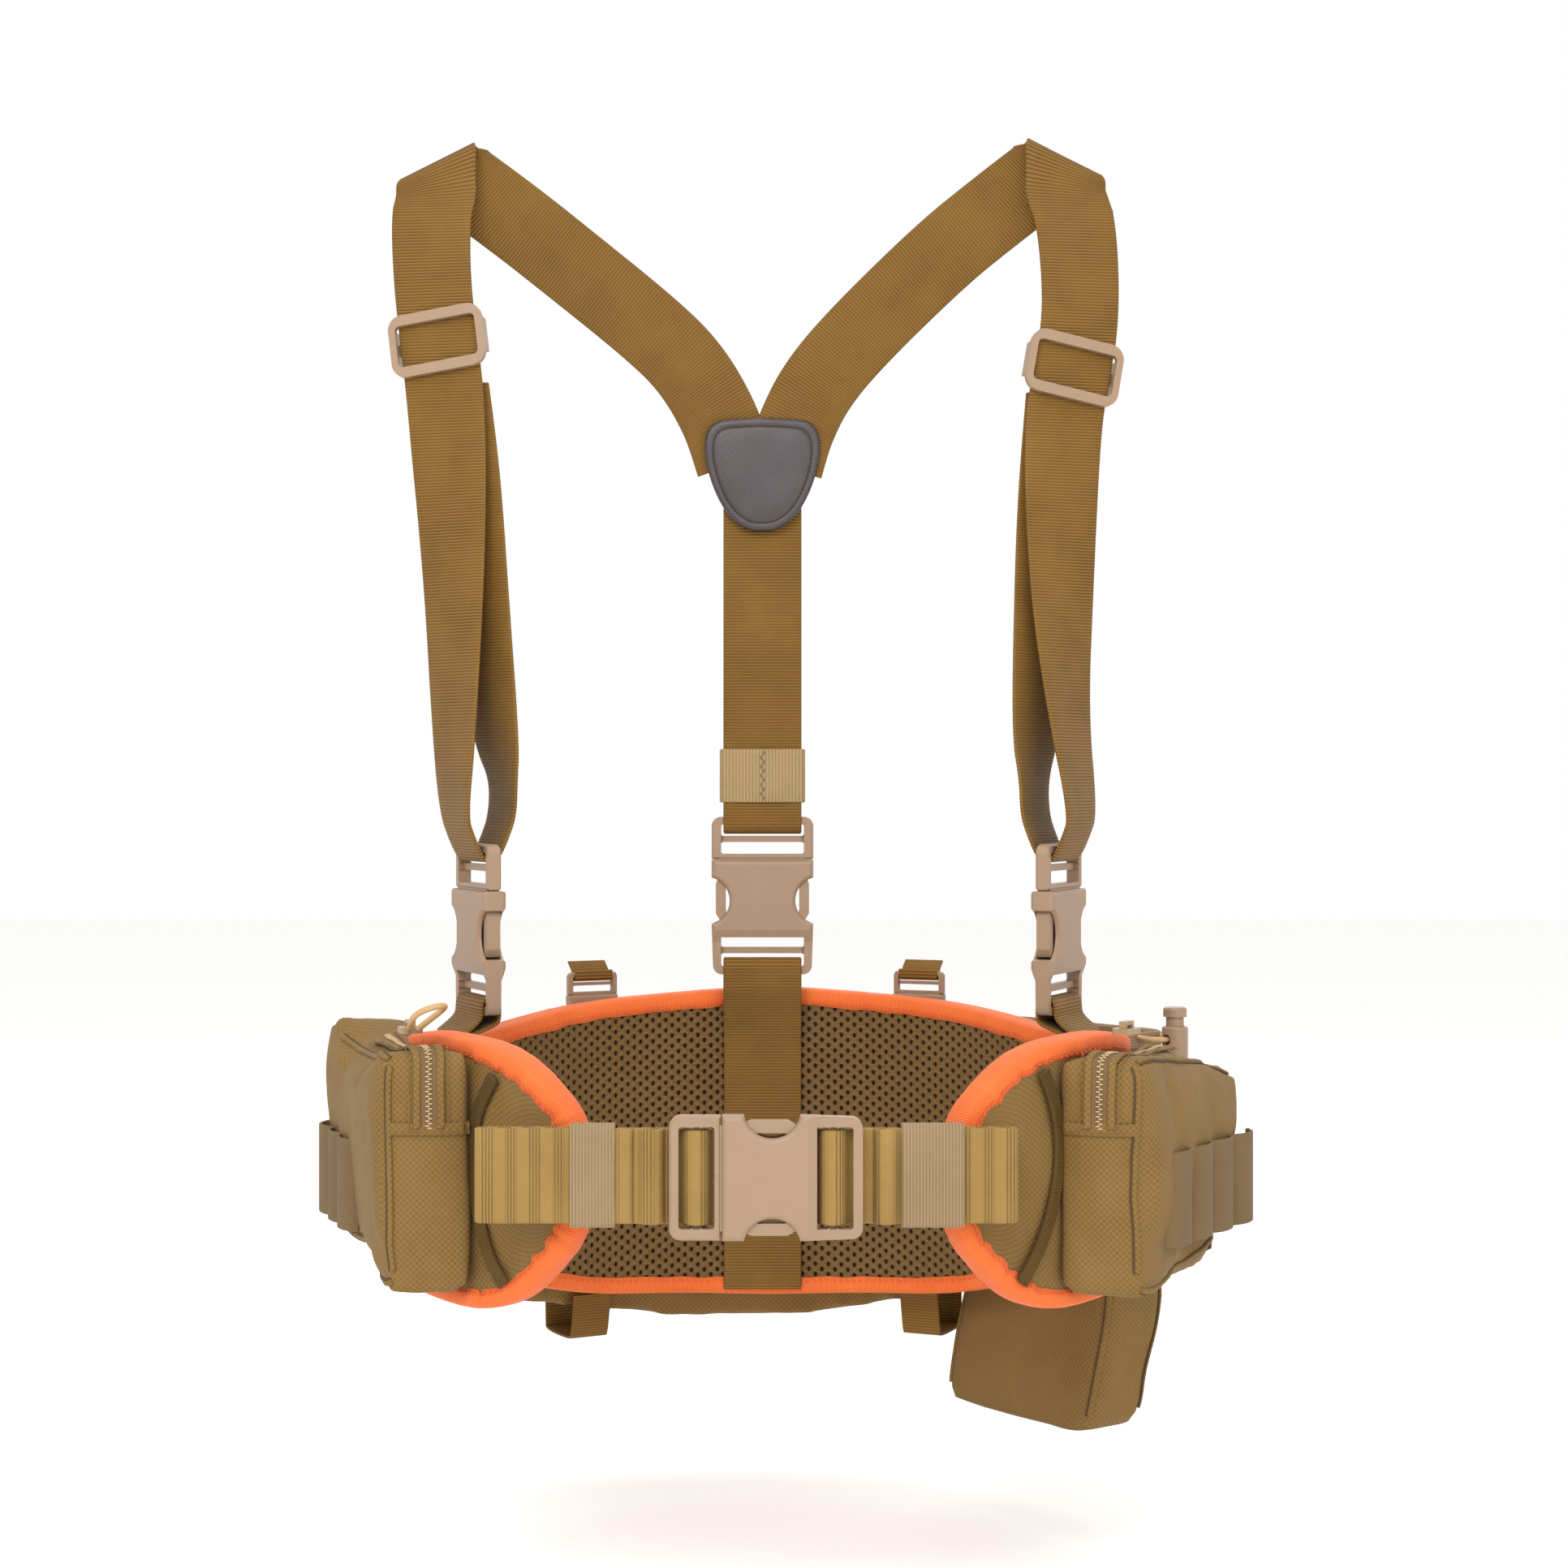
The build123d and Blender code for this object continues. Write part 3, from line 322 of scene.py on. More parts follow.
# %% Grid helpers
def unit(v):
    """Vectors of length one along the last axis."""
    return v / np.maximum(np.linalg.norm(v, axis=-1, keepdims=True), 1e-9)


def make_object(name, points, quads, uv, material, body):
    """Object from points in metres, an array of quads, and a UV for each corner of each quad."""
    data = bpy.data.meshes.new(name)
    data.vertices.add(len(points))
    data.vertices.foreach_set("co", np.asarray(points, dtype=np.float32).ravel())
    data.loops.add(quads.size)
    data.loops.foreach_set("vertex_index", quads.astype(np.int32).ravel())
    data.polygons.add(len(quads))
    data.polygons.foreach_set("loop_start", np.arange(0, quads.size, 4, dtype=np.int32))
    data.polygons.foreach_set("use_smooth", np.full(len(quads), True))
    data.update(calc_edges=True)
    layer = data.uv_layers.new(name="cloth")
    layer.data.foreach_set("uv", np.asarray(uv, dtype=np.float32).ravel())
    data.validate()
    data.materials.append(material)
    piece = bpy.data.objects.new(name, data)
    scene.collection.objects.link(piece)
    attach(piece, body)
    return piece


def grid_quads(rows, cols, loop_rows=False, loop_cols=False):
    """Corner numbers of the quads of a rows by cols grid, closed round where asked."""
    r = np.arange(rows if loop_rows else rows - 1)[:, None]
    c = np.arange(cols if loop_cols else cols - 1)[None, :]
    r1, c1 = (r + 1) % rows, (c + 1) % cols
    corners = [r * cols + c + 0 * r1, r1 * cols + c, r1 * cols + c1, r * cols + c1 + 0 * r1]
    return np.stack([np.broadcast_to(k, (len(r), c.shape[1])) for k in corners], axis=-1).reshape(-1, 4)


def end_caps(rows, cols):
    """Quads that close the first and the last ring of a grid whose rows are closed rings."""
    c = np.arange(cols // 2 - 1)
    cap = np.stack([c, c + 1, cols - 2 - c, cols - 1 - c], axis=1)
    return np.vstack([cap[:, ::-1], cap + (rows - 1) * cols])


def tube_quads(sides, rings, copies):
    """Quads of many small open tubes, each a few rings of points, numbered one tube after another."""
    k = np.arange(sides)
    one = np.concatenate([np.stack([r * sides + k, r * sides + (k + 1) % sides, (r + 1) * sides + (k + 1) % sides,
                                    (r + 1) * sides + k], axis=1) for r in range(rings - 1)])
    return (one[None] + (np.arange(copies) * sides * rings)[:, None, None]).reshape(-1, 4)


def grid_uv(u, v, loop_cols=False):
    """UV at each quad corner of a grid, from a value for each row and each column, in metres."""
    rows, cols = len(u), len(v)
    last = cols if loop_cols else cols - 1
    u, v = np.asarray(u) * CM, np.asarray(v) * CM
    v_next = np.append(v[1:], v[-1] + (v[-1] - v[-2])) if loop_cols else v[1:]
    r, c = np.meshgrid(np.arange(rows - 1), np.arange(last), indexing="ij")
    pairs = [(u[r], v[c]), (u[r + 1], v[c]), (u[r + 1], v_next[c]), (u[r], v_next[c])]
    return np.stack([np.stack(p, axis=-1) for p in pairs], axis=2).reshape(-1, 2)


def rounded_path(points, rounds=3):
    """Corner cutting: each run keeps its points at one quarter and three quarters, and both ends stay."""
    points = np.asarray(points, dtype=float)
    for _ in range(rounds):
        a, b = points[:-1], points[1:]
        cut = np.stack([0.75 * a + 0.25 * b, 0.25 * a + 0.75 * b], axis=1).reshape(-1, points.shape[1])
        points = np.vstack([points[:1], cut[1:-1], points[-1:]])
    return points


def travelled(points):
    """Length of the line from its first point to each point."""
    return np.concatenate([[0], np.cumsum(np.linalg.norm(np.diff(points, axis=0), axis=1))])


def even_steps(points, step):
    """Points at even steps of arc length along the first three columns; also returns the lengths."""
    length = travelled(points[:, :3])
    at = np.linspace(0, length[-1], max(3, int(round(length[-1] / step)) + 1))
    return np.stack([np.interp(at, length, points[:, k]) for k in range(points.shape[1])], axis=1), at


def even_outline(corners, rounds, step):
    """Closed plan outline with its corners cut, as points at even steps."""
    closed = rounded_path(np.vstack([corners, corners[:1]]), rounds)
    return even_steps(np.hstack([closed, 0 * closed[:, :1]]), step)[0][:-1, :2]


# %% [markdown]
# ## Webbing
# Webbing is woven in a loop, so its section is a flat oval with firm rolled edges. The ribs are real here:
# the thickness swells and sinks once per rib along the length. The path carries the width direction with
# it, so the strap can twist as it does where it turns from the shoulder to the hip buckle.


# %% Webbing surface
def web_section(width, thick, across_count=7):
    """Closed section as (across, up) pairs: two flat faces joined by half-round edges."""
    half = width / 2 - thick / 2
    flat = np.linspace(-half, half, across_count)
    turn = np.radians([-60, 0, 60])
    right = np.stack([half + np.cos(turn) * thick / 2, np.sin(turn) * thick / 2], axis=1)
    top = np.stack([flat[::-1], np.full(across_count, thick / 2)], axis=1)
    low = np.stack([flat, np.full(across_count, -thick / 2)], axis=1)
    left = np.stack([-half - np.cos(turn) * thick / 2, -np.sin(turn) * thick / 2], axis=1)
    return np.vstack([low, right, top, left])


def webbing(name, stations, width, thick, body, material, pitch=WEB_PITCH * MM, rib=0.16, rounds=3, skewed=False):
    """Strap along stations (x, y, z, across x, y, z) in metres. A point is the path plus across times the
    width share plus facing times the height, where the height swells by the rib share along the length. A
    skewed strap keeps its width direction even where that leans along the path, as beside a slanted fold."""
    smooth = rounded_path(stations, rounds)
    path, at = even_steps(smooth, pitch / 4)
    run = unit(np.gradient(path[:, :3], axis=0))
    given = unit(path[:, 3:6])
    square = given - run * np.sum(given * run, axis=1, keepdims=True)
    across = given / np.maximum(np.linalg.norm(square, axis=1, keepdims=True), 0.8) if skewed else unit(square)
    facing = unit(np.cross(given, run))
    section = web_section(width, thick)
    swell = 1 + rib * np.cos(2 * np.pi * at / pitch)[:, None, None]
    points = path[:, None, :3] + across[:, None] * section[None, :, :1] \
        + facing[:, None] * (section[None, :, 1:] * swell)
    rows, cols = points.shape[:2]
    quads = grid_quads(rows, cols, loop_cols=True)
    uv = grid_uv(at, travelled(section), loop_cols=True)
    caps = end_caps(rows, cols)
    piece = make_object(name, points.reshape(-1, 3), np.vstack([quads[:, ::-1], caps]),
                        np.vstack([uv.reshape(-1, 4, 2)[:, ::-1].reshape(-1, 2), np.zeros((caps.size, 2))]),
                        material, body)
    print(name, "length mm", round(at[-1] / MM), "faces", len(quads))
    return piece


# %% [markdown]
# ## Where each buckle sits
# The squeeze joints of a buckle's two prongs stand either side of its centre line, and their axis is the
# direction it faces. From those three facts comes the buckle's own frame: across, along and facing. Every
# strap end is then drawn in that frame, with the webbing's turns round the bars as a short list of points.


# %% Buckle frames
ROOT_X, ROOT_Y = 18.2 * MM, -4.5 * MM       # prong roots from the seam's middle, on a full-size buckle


class Seat:
    """Frame of a buckle: origin on the seam, x across, y towards the plug's strap, z out of its face."""

    def __init__(self, right, left):
        a, b = [np.array(joints[f"{name}_squeeze"]["pos_m"]) for name in (right, left)]
        self.x = unit(a - b)
        self.z = -unit(np.array(joints[f"{right}_squeeze"]["axis"], dtype=float))
        self.y = np.cross(self.z, self.x)
        self.size = np.linalg.norm(a - b) / (2 * ROOT_X)
        self.origin = (a + b) / 2 - self.y * ROOT_Y * self.size

    def at(self, y, z, x=0.0):
        """Point in the row's frame from millimetres in the full-size buckle's frame."""
        return self.origin + (self.x * x + self.y * y + self.z * z) * MM * self.size

    def stations(self, pairs):
        """Strap stations for (y, z) pairs, with the strap's width along the buckle's own width."""
        return [np.concatenate([self.at(y, z), self.x]) for y, z in pairs]


waist = Seat("waist_prong_upper", "waist_prong_lower")
back = Seat("back_prong_right", "back_prong_left")
side_seats = {"left": Seat("left_prong_front", "left_prong_rear"),
              "right": Seat("right_prong_rear", "right_prong_front")}
rear_seats = {"left": Seat("rear_prong_left_inner", "rear_prong_left_outer"),
              "right": Seat("rear_prong_right_outer", "rear_prong_right_inner")}

WEB, THICK = 38 * MM, 1.6 * MM
PLUG_END, SOCKET_END = 21.0, -55.7
PLUG_BAR, SOCKET_BAR = 10.2, -44.0


def end_wrap(edge, out):
    """Webbing over an end bar, down through the window and back under it."""
    turns = ((1, 4.2), (-5.2, 4.2), (-7.4, 1.6), (-7.4, -1.6), (-5.2, -4.2), (1, -4.2))
    return [(edge + out * s, z) for s, z in turns]


def bar_arch(bar, out):
    """Webbing in under the frame, over the middle bar, and back under."""
    turns = ((8, -4.3), (5.6, -3.4), (3.4, 1.5), (0, 2.6), (-3.4, 1.5), (-5.4, -2.2), (-5.6, -5.6), (-3, -6.6))
    return [(bar + out * s, z) for s, z in turns]


# %% [markdown]
# ## Shoulder straps
# Each shoulder strap is one length of webbing: round the hip buckle's bar, up the front while it twists
# from facing sideways to facing forward, through the slider, over the shoulder, and down the back to the
# leather yoke. Its spare end runs back down from the slider as an inner layer.

# %% Shoulder straps
FRONT = {-1: [(-144, 33, 180, 54), (-146, 50, 256, 37), (-151.5, 68, 332, 12), (-155.5, 72, 363, 12),
              (-159.5, 76, 394, 12), (-160.5, 80, 425, 4)],
         1: [(137, 36, 190, 56), (135.5, 50, 250, 34), (137.5, 66, 322, 14), (142.5, 69.5, 350, 14),
             (147.5, 73, 378, 14), (146, 79, 420, 5)]}
CREST = {-1: (-158.5, 88, 453), 1: (141, 88, 455)}
INNER = {-1: [(-124, 32, 172, 56), (-134, 48, 228, 38), (-143.5, 66, 300, 20), (-151, 75.5, 345, 12)],
         1: [(122, 33, 176, 54), (128, 49, 232, 38), (134, 66, 292, 22), (139.5, 74.5, 340, 14)]}
FALL = {-1: [(-146.5, 92, 444, 44), (-121, 97, 426, 51), (-97.5, 102, 408, 52), (-58, 108.5, 377, 50),
             (-38.5, 112, 358.5, 43), (-24, 114.9, 334, 29), (-17, 114.9, 312, 20)],
        1: [(129, 92, 446, 44), (106, 96.5, 429, 49), (83, 101, 411, 50), (44, 107.5, 374, 46),
            (23, 110.5, 350, 37), (12, 112.9, 328, 24), (7, 112.9, 310, 17)]}
yoke_low, yoke_high = [np.array(corner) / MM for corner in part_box("yoke_patch")]
yoke_x, yoke_y, yoke_z = (yoke_low + yoke_high) / 2


def level(turn, side):
    """Level width direction of a strap turned this many degrees from facing forward to its own side."""
    return (math.cos(math.radians(turn)), side * math.sin(math.radians(turn)), 0)


def tilted(tilt, side):
    """Width direction of a strap lying in the plane of the back, tilted up towards the spine."""
    return (math.cos(math.radians(tilt)), 0, -side * math.sin(math.radians(tilt)))


def levels(rows, side):
    """Stations from rows of (x, y, z, turn) in millimetres."""
    return [np.array((x * MM, y * MM, z * MM) + level(turn, side)) for x, y, z, turn in rows]


def tilts(rows, side):
    """Stations from rows of (x, y, z, tilt) in millimetres."""
    return [np.array((x * MM, y * MM, z * MM) + tilted(tilt, side)) for x, y, z, tilt in rows]


for side, where in ((-1, "left"), (1, "right")):
    seat = side_seats[where]
    cx, cy, cz = CREST[side]
    # Over the shoulder the strap folds along a slanted line, so its width tilts while it turns to the back.
    over = tilts([(cx, cy - 4, cz - 18, 2), (cx, cy - 4, cz - 9, 17), (cx, cy - 3.5, cz - 3, 25),
                  (cx - side * 0.3, cy, cz, 27), (cx - side * 1.5, cy + 2.6, cz - 1.5, 29),
                  (cx - side * 4.5, cy + 3, cz - 5, 36)], side)
    loop = seat.stations([(50, -12), (34, -11.5), (24, -8)] + end_wrap(PLUG_END, 1)[-2:0:-1]
                         + [(24, 8), (34, 11.5)])
    strap = levels(INNER[side][::-1], side) + loop + levels(FRONT[side], side) + over + tilts(FALL[side], side)
    made = webbing(f"shoulder_strap_{where}_cloth", strap, WEB, THICK, "harness", webbing_mat, skewed=True)
    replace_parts(made, f"shoulder_strap_{where}")

# %% [markdown]
# ## Back strap and lumbar strap
# The back strap hangs from the yoke to the back buckle. Below the buckle the webbing is sewn flat down the
# middle of the lumbar pad.

# %% Back strap and lumbar strap
back_rise = (yoke_z - back.origin[2] / MM) + 10
back_web = webbing("back_strap_cloth", back.stations([(back_rise, 1.5), (110, 2.5), (70, 4.2)]
                                                    + end_wrap(PLUG_END, 1) + [(30, -4.2), (58, -4.2)]),
                   WEB, THICK, "harness", webbing_mat)
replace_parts(back_web, "back_strap")
low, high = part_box("lumbar_webbing")
lumbar_low = (low[2] - back.origin[2]) / MM
lumbar_depth = (back.origin[1] - high[1]) / MM + 0.8
lumbar_web = webbing("lumbar_webbing_cloth",
                     back.stations([(-66, -4.2)] + end_wrap(SOCKET_END, -1)[::-1]
                                   + [(-64, 4.2), (-74, 0.5), (-88, lumbar_depth), (-120, lumbar_depth),
                                      (lumbar_low, lumbar_depth)]),
                     WEB, THICK, "belt", webbing_mat)
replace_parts(lumbar_web, "lumbar_webbing")

# %% [markdown]
# ## Waist webbing
# The adjustable waist strap leaves each wing, folds back on itself, runs to the buckle, arches over the
# middle bar and comes back to a sewn hem. Its spare length stands up in one soft ridge beside the buckle,
# and on the plug's side a folded hem lies over it. It is a lighter, softer webbing than the harness.

# %% Waist webbing
WAIST_PITCH, WAIST_RIB = 1.25 * MM, 0.1
WING, FOLD = {1: 52.0, -1: -87.0}, {1: 98.5, -1: -117.5}
HEM, RIDGE = {1: 42.0, -1: -70.5}, {1: 28.2, -1: -65.0}
for out, where, body, bar in ((1, "left", "waist_plug_side", PLUG_BAR), (-1, "right", "belt", SOCKET_BAR)):
    fold = FOLD[out]
    route = [(WING[out], -10), (fold - out * 6, -10), (fold - out * 1.2, -9.8), (fold, -7.2),
             (fold - out * 1.2, -4.5), (fold - out * 6, -4.3)]
    # The spare length stands up in one soft ridge beside the buckle.
    route += [(RIDGE[out] + out * y, z) for y, z in ((7, -4.3), (4.4, -3.9), (3.2, -1.0), (0, 0.1), (-3.2, -1.0),
                                                     (-4.2, -4.1), (-5.2, -4.6))]
    route += bar_arch(bar, out) + [(HEM[out], -6.6)]
    piece = webbing(f"waist_webbing_{where}_cloth", waist.stations(route), WEB, THICK, body, waist_mat,
                    WAIST_PITCH, WAIST_RIB)
    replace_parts(piece, f"waist_webbing_{where}")
webbing("waist_hem_left", waist.stations([(36.6, -3.4), (37.2, -2.7), (43.6, -2.7), (44.2, -3.4)]), WEB * 0.99,
        1.5 * MM, "waist_plug_side", waist_mat, WAIST_PITCH, WAIST_RIB, 1)

# %% [markdown]
# ## Side loops and rear straps
# A loop sewn to the belt holds each side buckle's socket. Above the rear pouch, the ends of two small
# straps turn round the bars of their plugs; these buckles are the same shape at a smaller size.

# %% Side loops and rear straps
loop_foot = (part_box("side_loops")[0][2] - side_seats["left"].origin[2]) / MM
for where in ("left", "right"):
    seat = side_seats[where]
    piece = webbing(f"side_loop_{where}",
                    seat.stations([(loop_foot, 13.4), (-60, 7)] + end_wrap(SOCKET_END, -1)
                                  + [(-60, -3.4), (loop_foot, 9.6)]),
                    WEB, THICK, "belt", webbing_mat)
    if where == "left":
        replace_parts(piece, "side_loops")
    small = rear_seats[where]
    piece = webbing(f"rear_strap_top_{where}_cloth",
                    small.stations([(30, -13), (26, -8), (22, -4.2)] + end_wrap(PLUG_END, 1)[::-1] + [(23, 4.2)]),
                    WEB * small.size, THICK * small.size * 1.2, f"rear_plug_{where}", webbing_mat)
    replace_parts(piece, f"rear_strap_top_{where}")

# %% [markdown]
# ## The belt's own coordinates
# Everything on the belt follows one oval. A place on it is an arc length, a height and a distance outward,
# so a sheet, a row of stitches or a lattice can be worked out flat and then wrapped round in one step.

# %% Belt coordinates
HALF_X, HALF_Y = 0.146, 0.125
BELT_EDGES = np.array([(0, -94, 56), (35, -90, 50), (60, -76, 40), (90, -62, 42), (115, -60, 51),
                       (135, -61, 49), (146, -45, 36), (151, -20, 14)], dtype=float)
BELT_END = BELT_EDGES[-1, 0]        # degrees from the back to the end of a wing
TURNS = np.linspace(-160, 160, 1281)
RING_XY = np.stack([HALF_X * np.sin(np.radians(TURNS)), HALF_Y * np.cos(np.radians(TURNS))], axis=1)
ARC = travelled(RING_XY)
ARC = ARC - ARC[len(ARC) // 2]


def arc_at(turn):
    """Arc length in metres from the back for an angle in degrees."""
    return np.interp(turn, TURNS, ARC)


def wrap(arc, height, out):
    """Points for arrays of arc length, height and outward distance: the ring point plus out times the
    ring's normal, which is (sin t / half x, cos t / half y) made one long."""
    turn = np.radians(np.interp(arc, ARC, TURNS))
    normal = unit(np.stack([np.sin(turn) / HALF_X, np.cos(turn) / HALF_Y], axis=-1))
    flat = np.stack([HALF_X * np.sin(turn), HALF_Y * np.cos(turn)], axis=-1) + normal * np.asarray(out)[..., None]
    return np.concatenate([flat, np.asarray(height)[..., None]], axis=-1)


def belt_edge(arc, column):
    """Height in metres of the belt's low (1) or high (2) edge at an arc length, softened round its bends."""
    turn = np.abs(np.interp(arc, ARC, TURNS))
    near = [np.interp(np.clip(turn + d, 0, BELT_END), BELT_EDGES[:, 0], BELT_EDGES[:, column])
            for d in (-5, -2, 0, 2, 5)]
    return np.mean(near, axis=0) * MM


def noise(points, size, seed):
    """Soft value noise from -1 to 1 at (n, 3) points: random values on a grid of this size, with each
    point blended between its eight neighbours by 3 f squared minus 2 f cubed."""
    table = np.random.default_rng(seed).uniform(-1, 1, (17, 17, 17))
    cell = np.asarray(points) / size
    base = np.floor(cell).astype(int)
    f = cell - base
    f = f * f * (3 - 2 * f)
    total = np.zeros(len(f))
    for corner in np.ndindex(2, 2, 2):
        weight = np.prod(np.where(np.array(corner) == 1, f, 1 - f), axis=1)
        at = (base + corner) % 17
        total += weight * table[at[:, 0], at[:, 1], at[:, 2]]
    return total


def closed_sheet(name, front, back, u, v, material, body):
    """Thin closed body from two grids of points with the same shape: the front, the back, and a rim."""
    rows, cols = front.shape[:2]
    quads = grid_quads(rows, cols)
    rim = np.concatenate([np.arange(cols), np.arange(1, rows) * cols + cols - 1,
                          (rows - 1) * cols + np.arange(cols - 2, -1, -1), np.arange(rows - 2, 0, -1) * cols])
    following = np.roll(rim, -1)
    sides = np.stack([rim, following, following + rows * cols, rim + rows * cols], axis=1)
    uv = grid_uv(u, v)
    flat_uv = np.zeros((len(sides) * 4, 2))
    points = np.concatenate([front.reshape(-1, 3), back.reshape(-1, 3)])
    return make_object(name, points, np.vstack([quads, quads[:, ::-1] + rows * cols, sides]),
                       np.vstack([uv, uv.reshape(-1, 4, 2)[:, ::-1].reshape(-1, 2), flat_uv]), material, body)


# %% [markdown]
# ## Belt pad and canvas
# The pad is foam cut to the belt's outline. The canvas is sewn over its outside, so it swells a little
# between the bound edges: the outward distance gains a crown of height times (1 minus h to the fourth),
# where h runs from -1 to 1 across the belt, plus slow waves that fade at the edges.

# %% Belt pad and canvas
span = arc_at(BELT_END)
arcs = np.linspace(-span, span, 421)
share = np.linspace(-1, 1, 33)
low_edge, high_edge = belt_edge(arcs, 1), belt_edge(arcs, 2)
grid_arc = np.repeat(arcs[:, None], len(share), axis=1)


def belt_grid(inset, out):
    """Grid of belt points with its heights drawn in by the inset, at this outward distance."""
    near_end = np.clip((np.abs(arcs) - span) / 0.014 + 1, 0, 1)
    middle, half = (low_edge + high_edge) / 2, ((high_edge - low_edge) / 2 - inset) * (1 - 0.45 * near_end ** 2)
    heights = middle[:, None] + half[:, None] * share[None, :]
    return wrap(grid_arc * (1 - 0.004 / span), heights, np.broadcast_to(out, grid_arc.shape)), heights


crown = 1 - share[None, :] ** 4
_, heights = belt_grid(0.001, 0.0)
flat_points = np.stack([grid_arc.ravel(), heights.ravel(), 0 * grid_arc.ravel()], axis=1)
slow = noise(flat_points, 0.022, 4).reshape(grid_arc.shape)
pad_in, _ = belt_grid(0.0015, 0.0022)
pad_out, _ = belt_grid(0.0015, 0.0112 + 0.001 * crown)
belt_foam = closed_sheet("belt_pad_foam", pad_out, pad_in, arcs, share * 0.05, foam_mat, "belt")
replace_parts(belt_foam, "belt_pad")
canvas_out, _ = belt_grid(0.001, 0.0131 + (0.0012 + 0.0008 * slow) * crown)
canvas_in, _ = belt_grid(0.001, 0.0123 + (0.0012 + 0.0008 * slow) * crown)
belt_canvas = closed_sheet("belt_canvas", canvas_out, canvas_in, arcs, share * 0.052, canvas_mat, "belt")
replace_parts(belt_canvas, "belt_shell")
print("belt canvas", len(belt_canvas.data.polygons), "faces")

# %% [markdown]
# ## Spacer mesh
# The inside is knitted spacer fabric: oval holes in staggered rows over dark foam. Each hole has its own
# cell of a stretched honeycomb, so that eight quads join the cell's edge to the hole and eight more turn
# the hole's edge inward. Row n is shifted by half a pitch when n is odd.

# %% Spacer mesh
HOLE_PITCH, ROW_PITCH = 6.4 * MM, 2.55 * MM
rows_of = np.arange(-40, 26)
cols_of = np.arange(-int(span / HOLE_PITCH), int(span / HOLE_PITCH) + 1)
row_grid, col_grid = [g.ravel() for g in np.meshgrid(rows_of, cols_of, indexing="ij")]
cell_arc = (col_grid + 0.5 * (row_grid % 2)) * HOLE_PITCH
cell_height = row_grid * ROW_PITCH
kept = (cell_height > belt_edge(cell_arc, 1) + 0.003) & (cell_height < belt_edge(cell_arc, 2) - 0.003) \
    & (np.abs(cell_arc) < span - 0.004)
cell_arc, cell_height = cell_arc[kept], cell_height[kept]
edge = np.array([(0, 2 / 3), (0.5, 1 / 3), (0.5, 0), (0.5, -1 / 3), (0, -2 / 3), (-0.5, -1 / 3), (-0.5, 0),
                 (-0.5, 1 / 3)]) * [HOLE_PITCH, ROW_PITCH]
round_turn = np.radians([90, 48, 0, -48, -90, -132, 180, 132])
hole = np.stack([np.cos(round_turn) * 0.95 * MM, np.sin(round_turn) * 1.25 * MM], axis=1)
rings = np.stack([edge, hole, hole * 1.12])
depth = np.array([0.0002, 0.0005, 0.0019])[:, None]
local = np.concatenate([rings, np.broadcast_to(depth[:, :, None], (3, 8, 1))], axis=2)
where = np.stack([cell_arc, cell_height, 0 * cell_arc], axis=1)[:, None, None, :] + local[None]
cells = wrap(where[..., 0], where[..., 1], where[..., 2]).reshape(-1, 3)
quads = tube_quads(8, 3, len(cell_arc))
mesh_uv = where.reshape(-1, 3)[quads.ravel()][:, :2] * CM
lumbar = make_object("lumbar_mesh_knit", cells, quads, mesh_uv, mesh_mat, "belt")
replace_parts(lumbar, "lumbar_mesh")
print("mesh holes", len(cell_arc), "faces", len(quads))

# %% [markdown]
# ## Orange binding
# Binding is grosgrain tape folded over the edge and sewn through. The path runs once round the belt in its
# flat coordinates. At each step the tape's section is a thin U: out along one face, round the edge, back
# along the other. Sewing puckers it, most on the wings, so each lip waves in and out every 7 mm or so.


# %% Binding and stitches
def stitches(name, places, along, out, length, radius, material, body):
    """Row of thread stitches: each is a rod with narrowed ends, laid along its direction and sunk half."""
    along, out = unit(along), unit(out)
    third = np.cross(along, out)
    reach = np.array([-0.5, -0.32, 0.32, 0.5]) * length
    size = np.array([0.25, 1, 1, 0.25]) * radius
    turn = np.radians(np.arange(6) * 60)
    local = reach[None, :, None, None] * along[:, None, None, :] + size[None, :, None, None] * (
        np.cos(turn)[None, None, :, None] * out[:, None, None, :]
        + np.sin(turn)[None, None, :, None] * third[:, None, None, :])
    points = (places[:, None, None, :] + local).reshape(-1, 3)
    quads = tube_quads(6, 4, len(places))
    return make_object(name, points, quads, np.zeros((quads.size, 2)), material, body)


top = np.stack([arcs, belt_edge(arcs, 2)], axis=1)
bottom = np.stack([arcs[::-1], belt_edge(arcs[::-1], 1)], axis=1)
end = np.stack([np.full(20, span), np.linspace(top[-1, 1], bottom[0, 1], 22)[1:-1]], axis=1)
start = np.stack([np.full(20, -span), np.linspace(bottom[-1, 1], top[0, 1], 22)[1:-1]], axis=1)
loop = np.vstack([top, end, bottom, start])
length = travelled(np.vstack([loop, loop[:1]]))
count = int(length[-1] / (1.1 * MM))
at = np.arange(count) * length[-1] / count
loop = np.stack([np.interp(at, length, np.append(loop[:, k], loop[0, k])) for k in (0, 1)], axis=1)
spread = np.arange(-11, 12)
loop = np.mean([np.roll(loop, s, axis=0) for s in spread], axis=0)
run = unit(np.roll(loop, -3, axis=0) - np.roll(loop, 3, axis=0))
outward = np.stack([-run[:, 1], run[:, 0]], axis=1)
wing = np.clip((np.abs(loop[:, 0]) - arc_at(95)) / (span - arc_at(95)), 0, 1)
wander = noise(np.stack([at, 0 * at, 0 * at], axis=1), 0.009, 8)
quick_wave = noise(np.stack([at, 0 * at + 0.1, 0 * at], axis=1), 0.0032, 9)
lip = (7.4 + 0.5 * wander + wing * (0.9 * quick_wave + 0.4)) * MM
pucker = (0.1 + 0.55 * wing) * quick_wave * MM + 0.15 * wander * MM
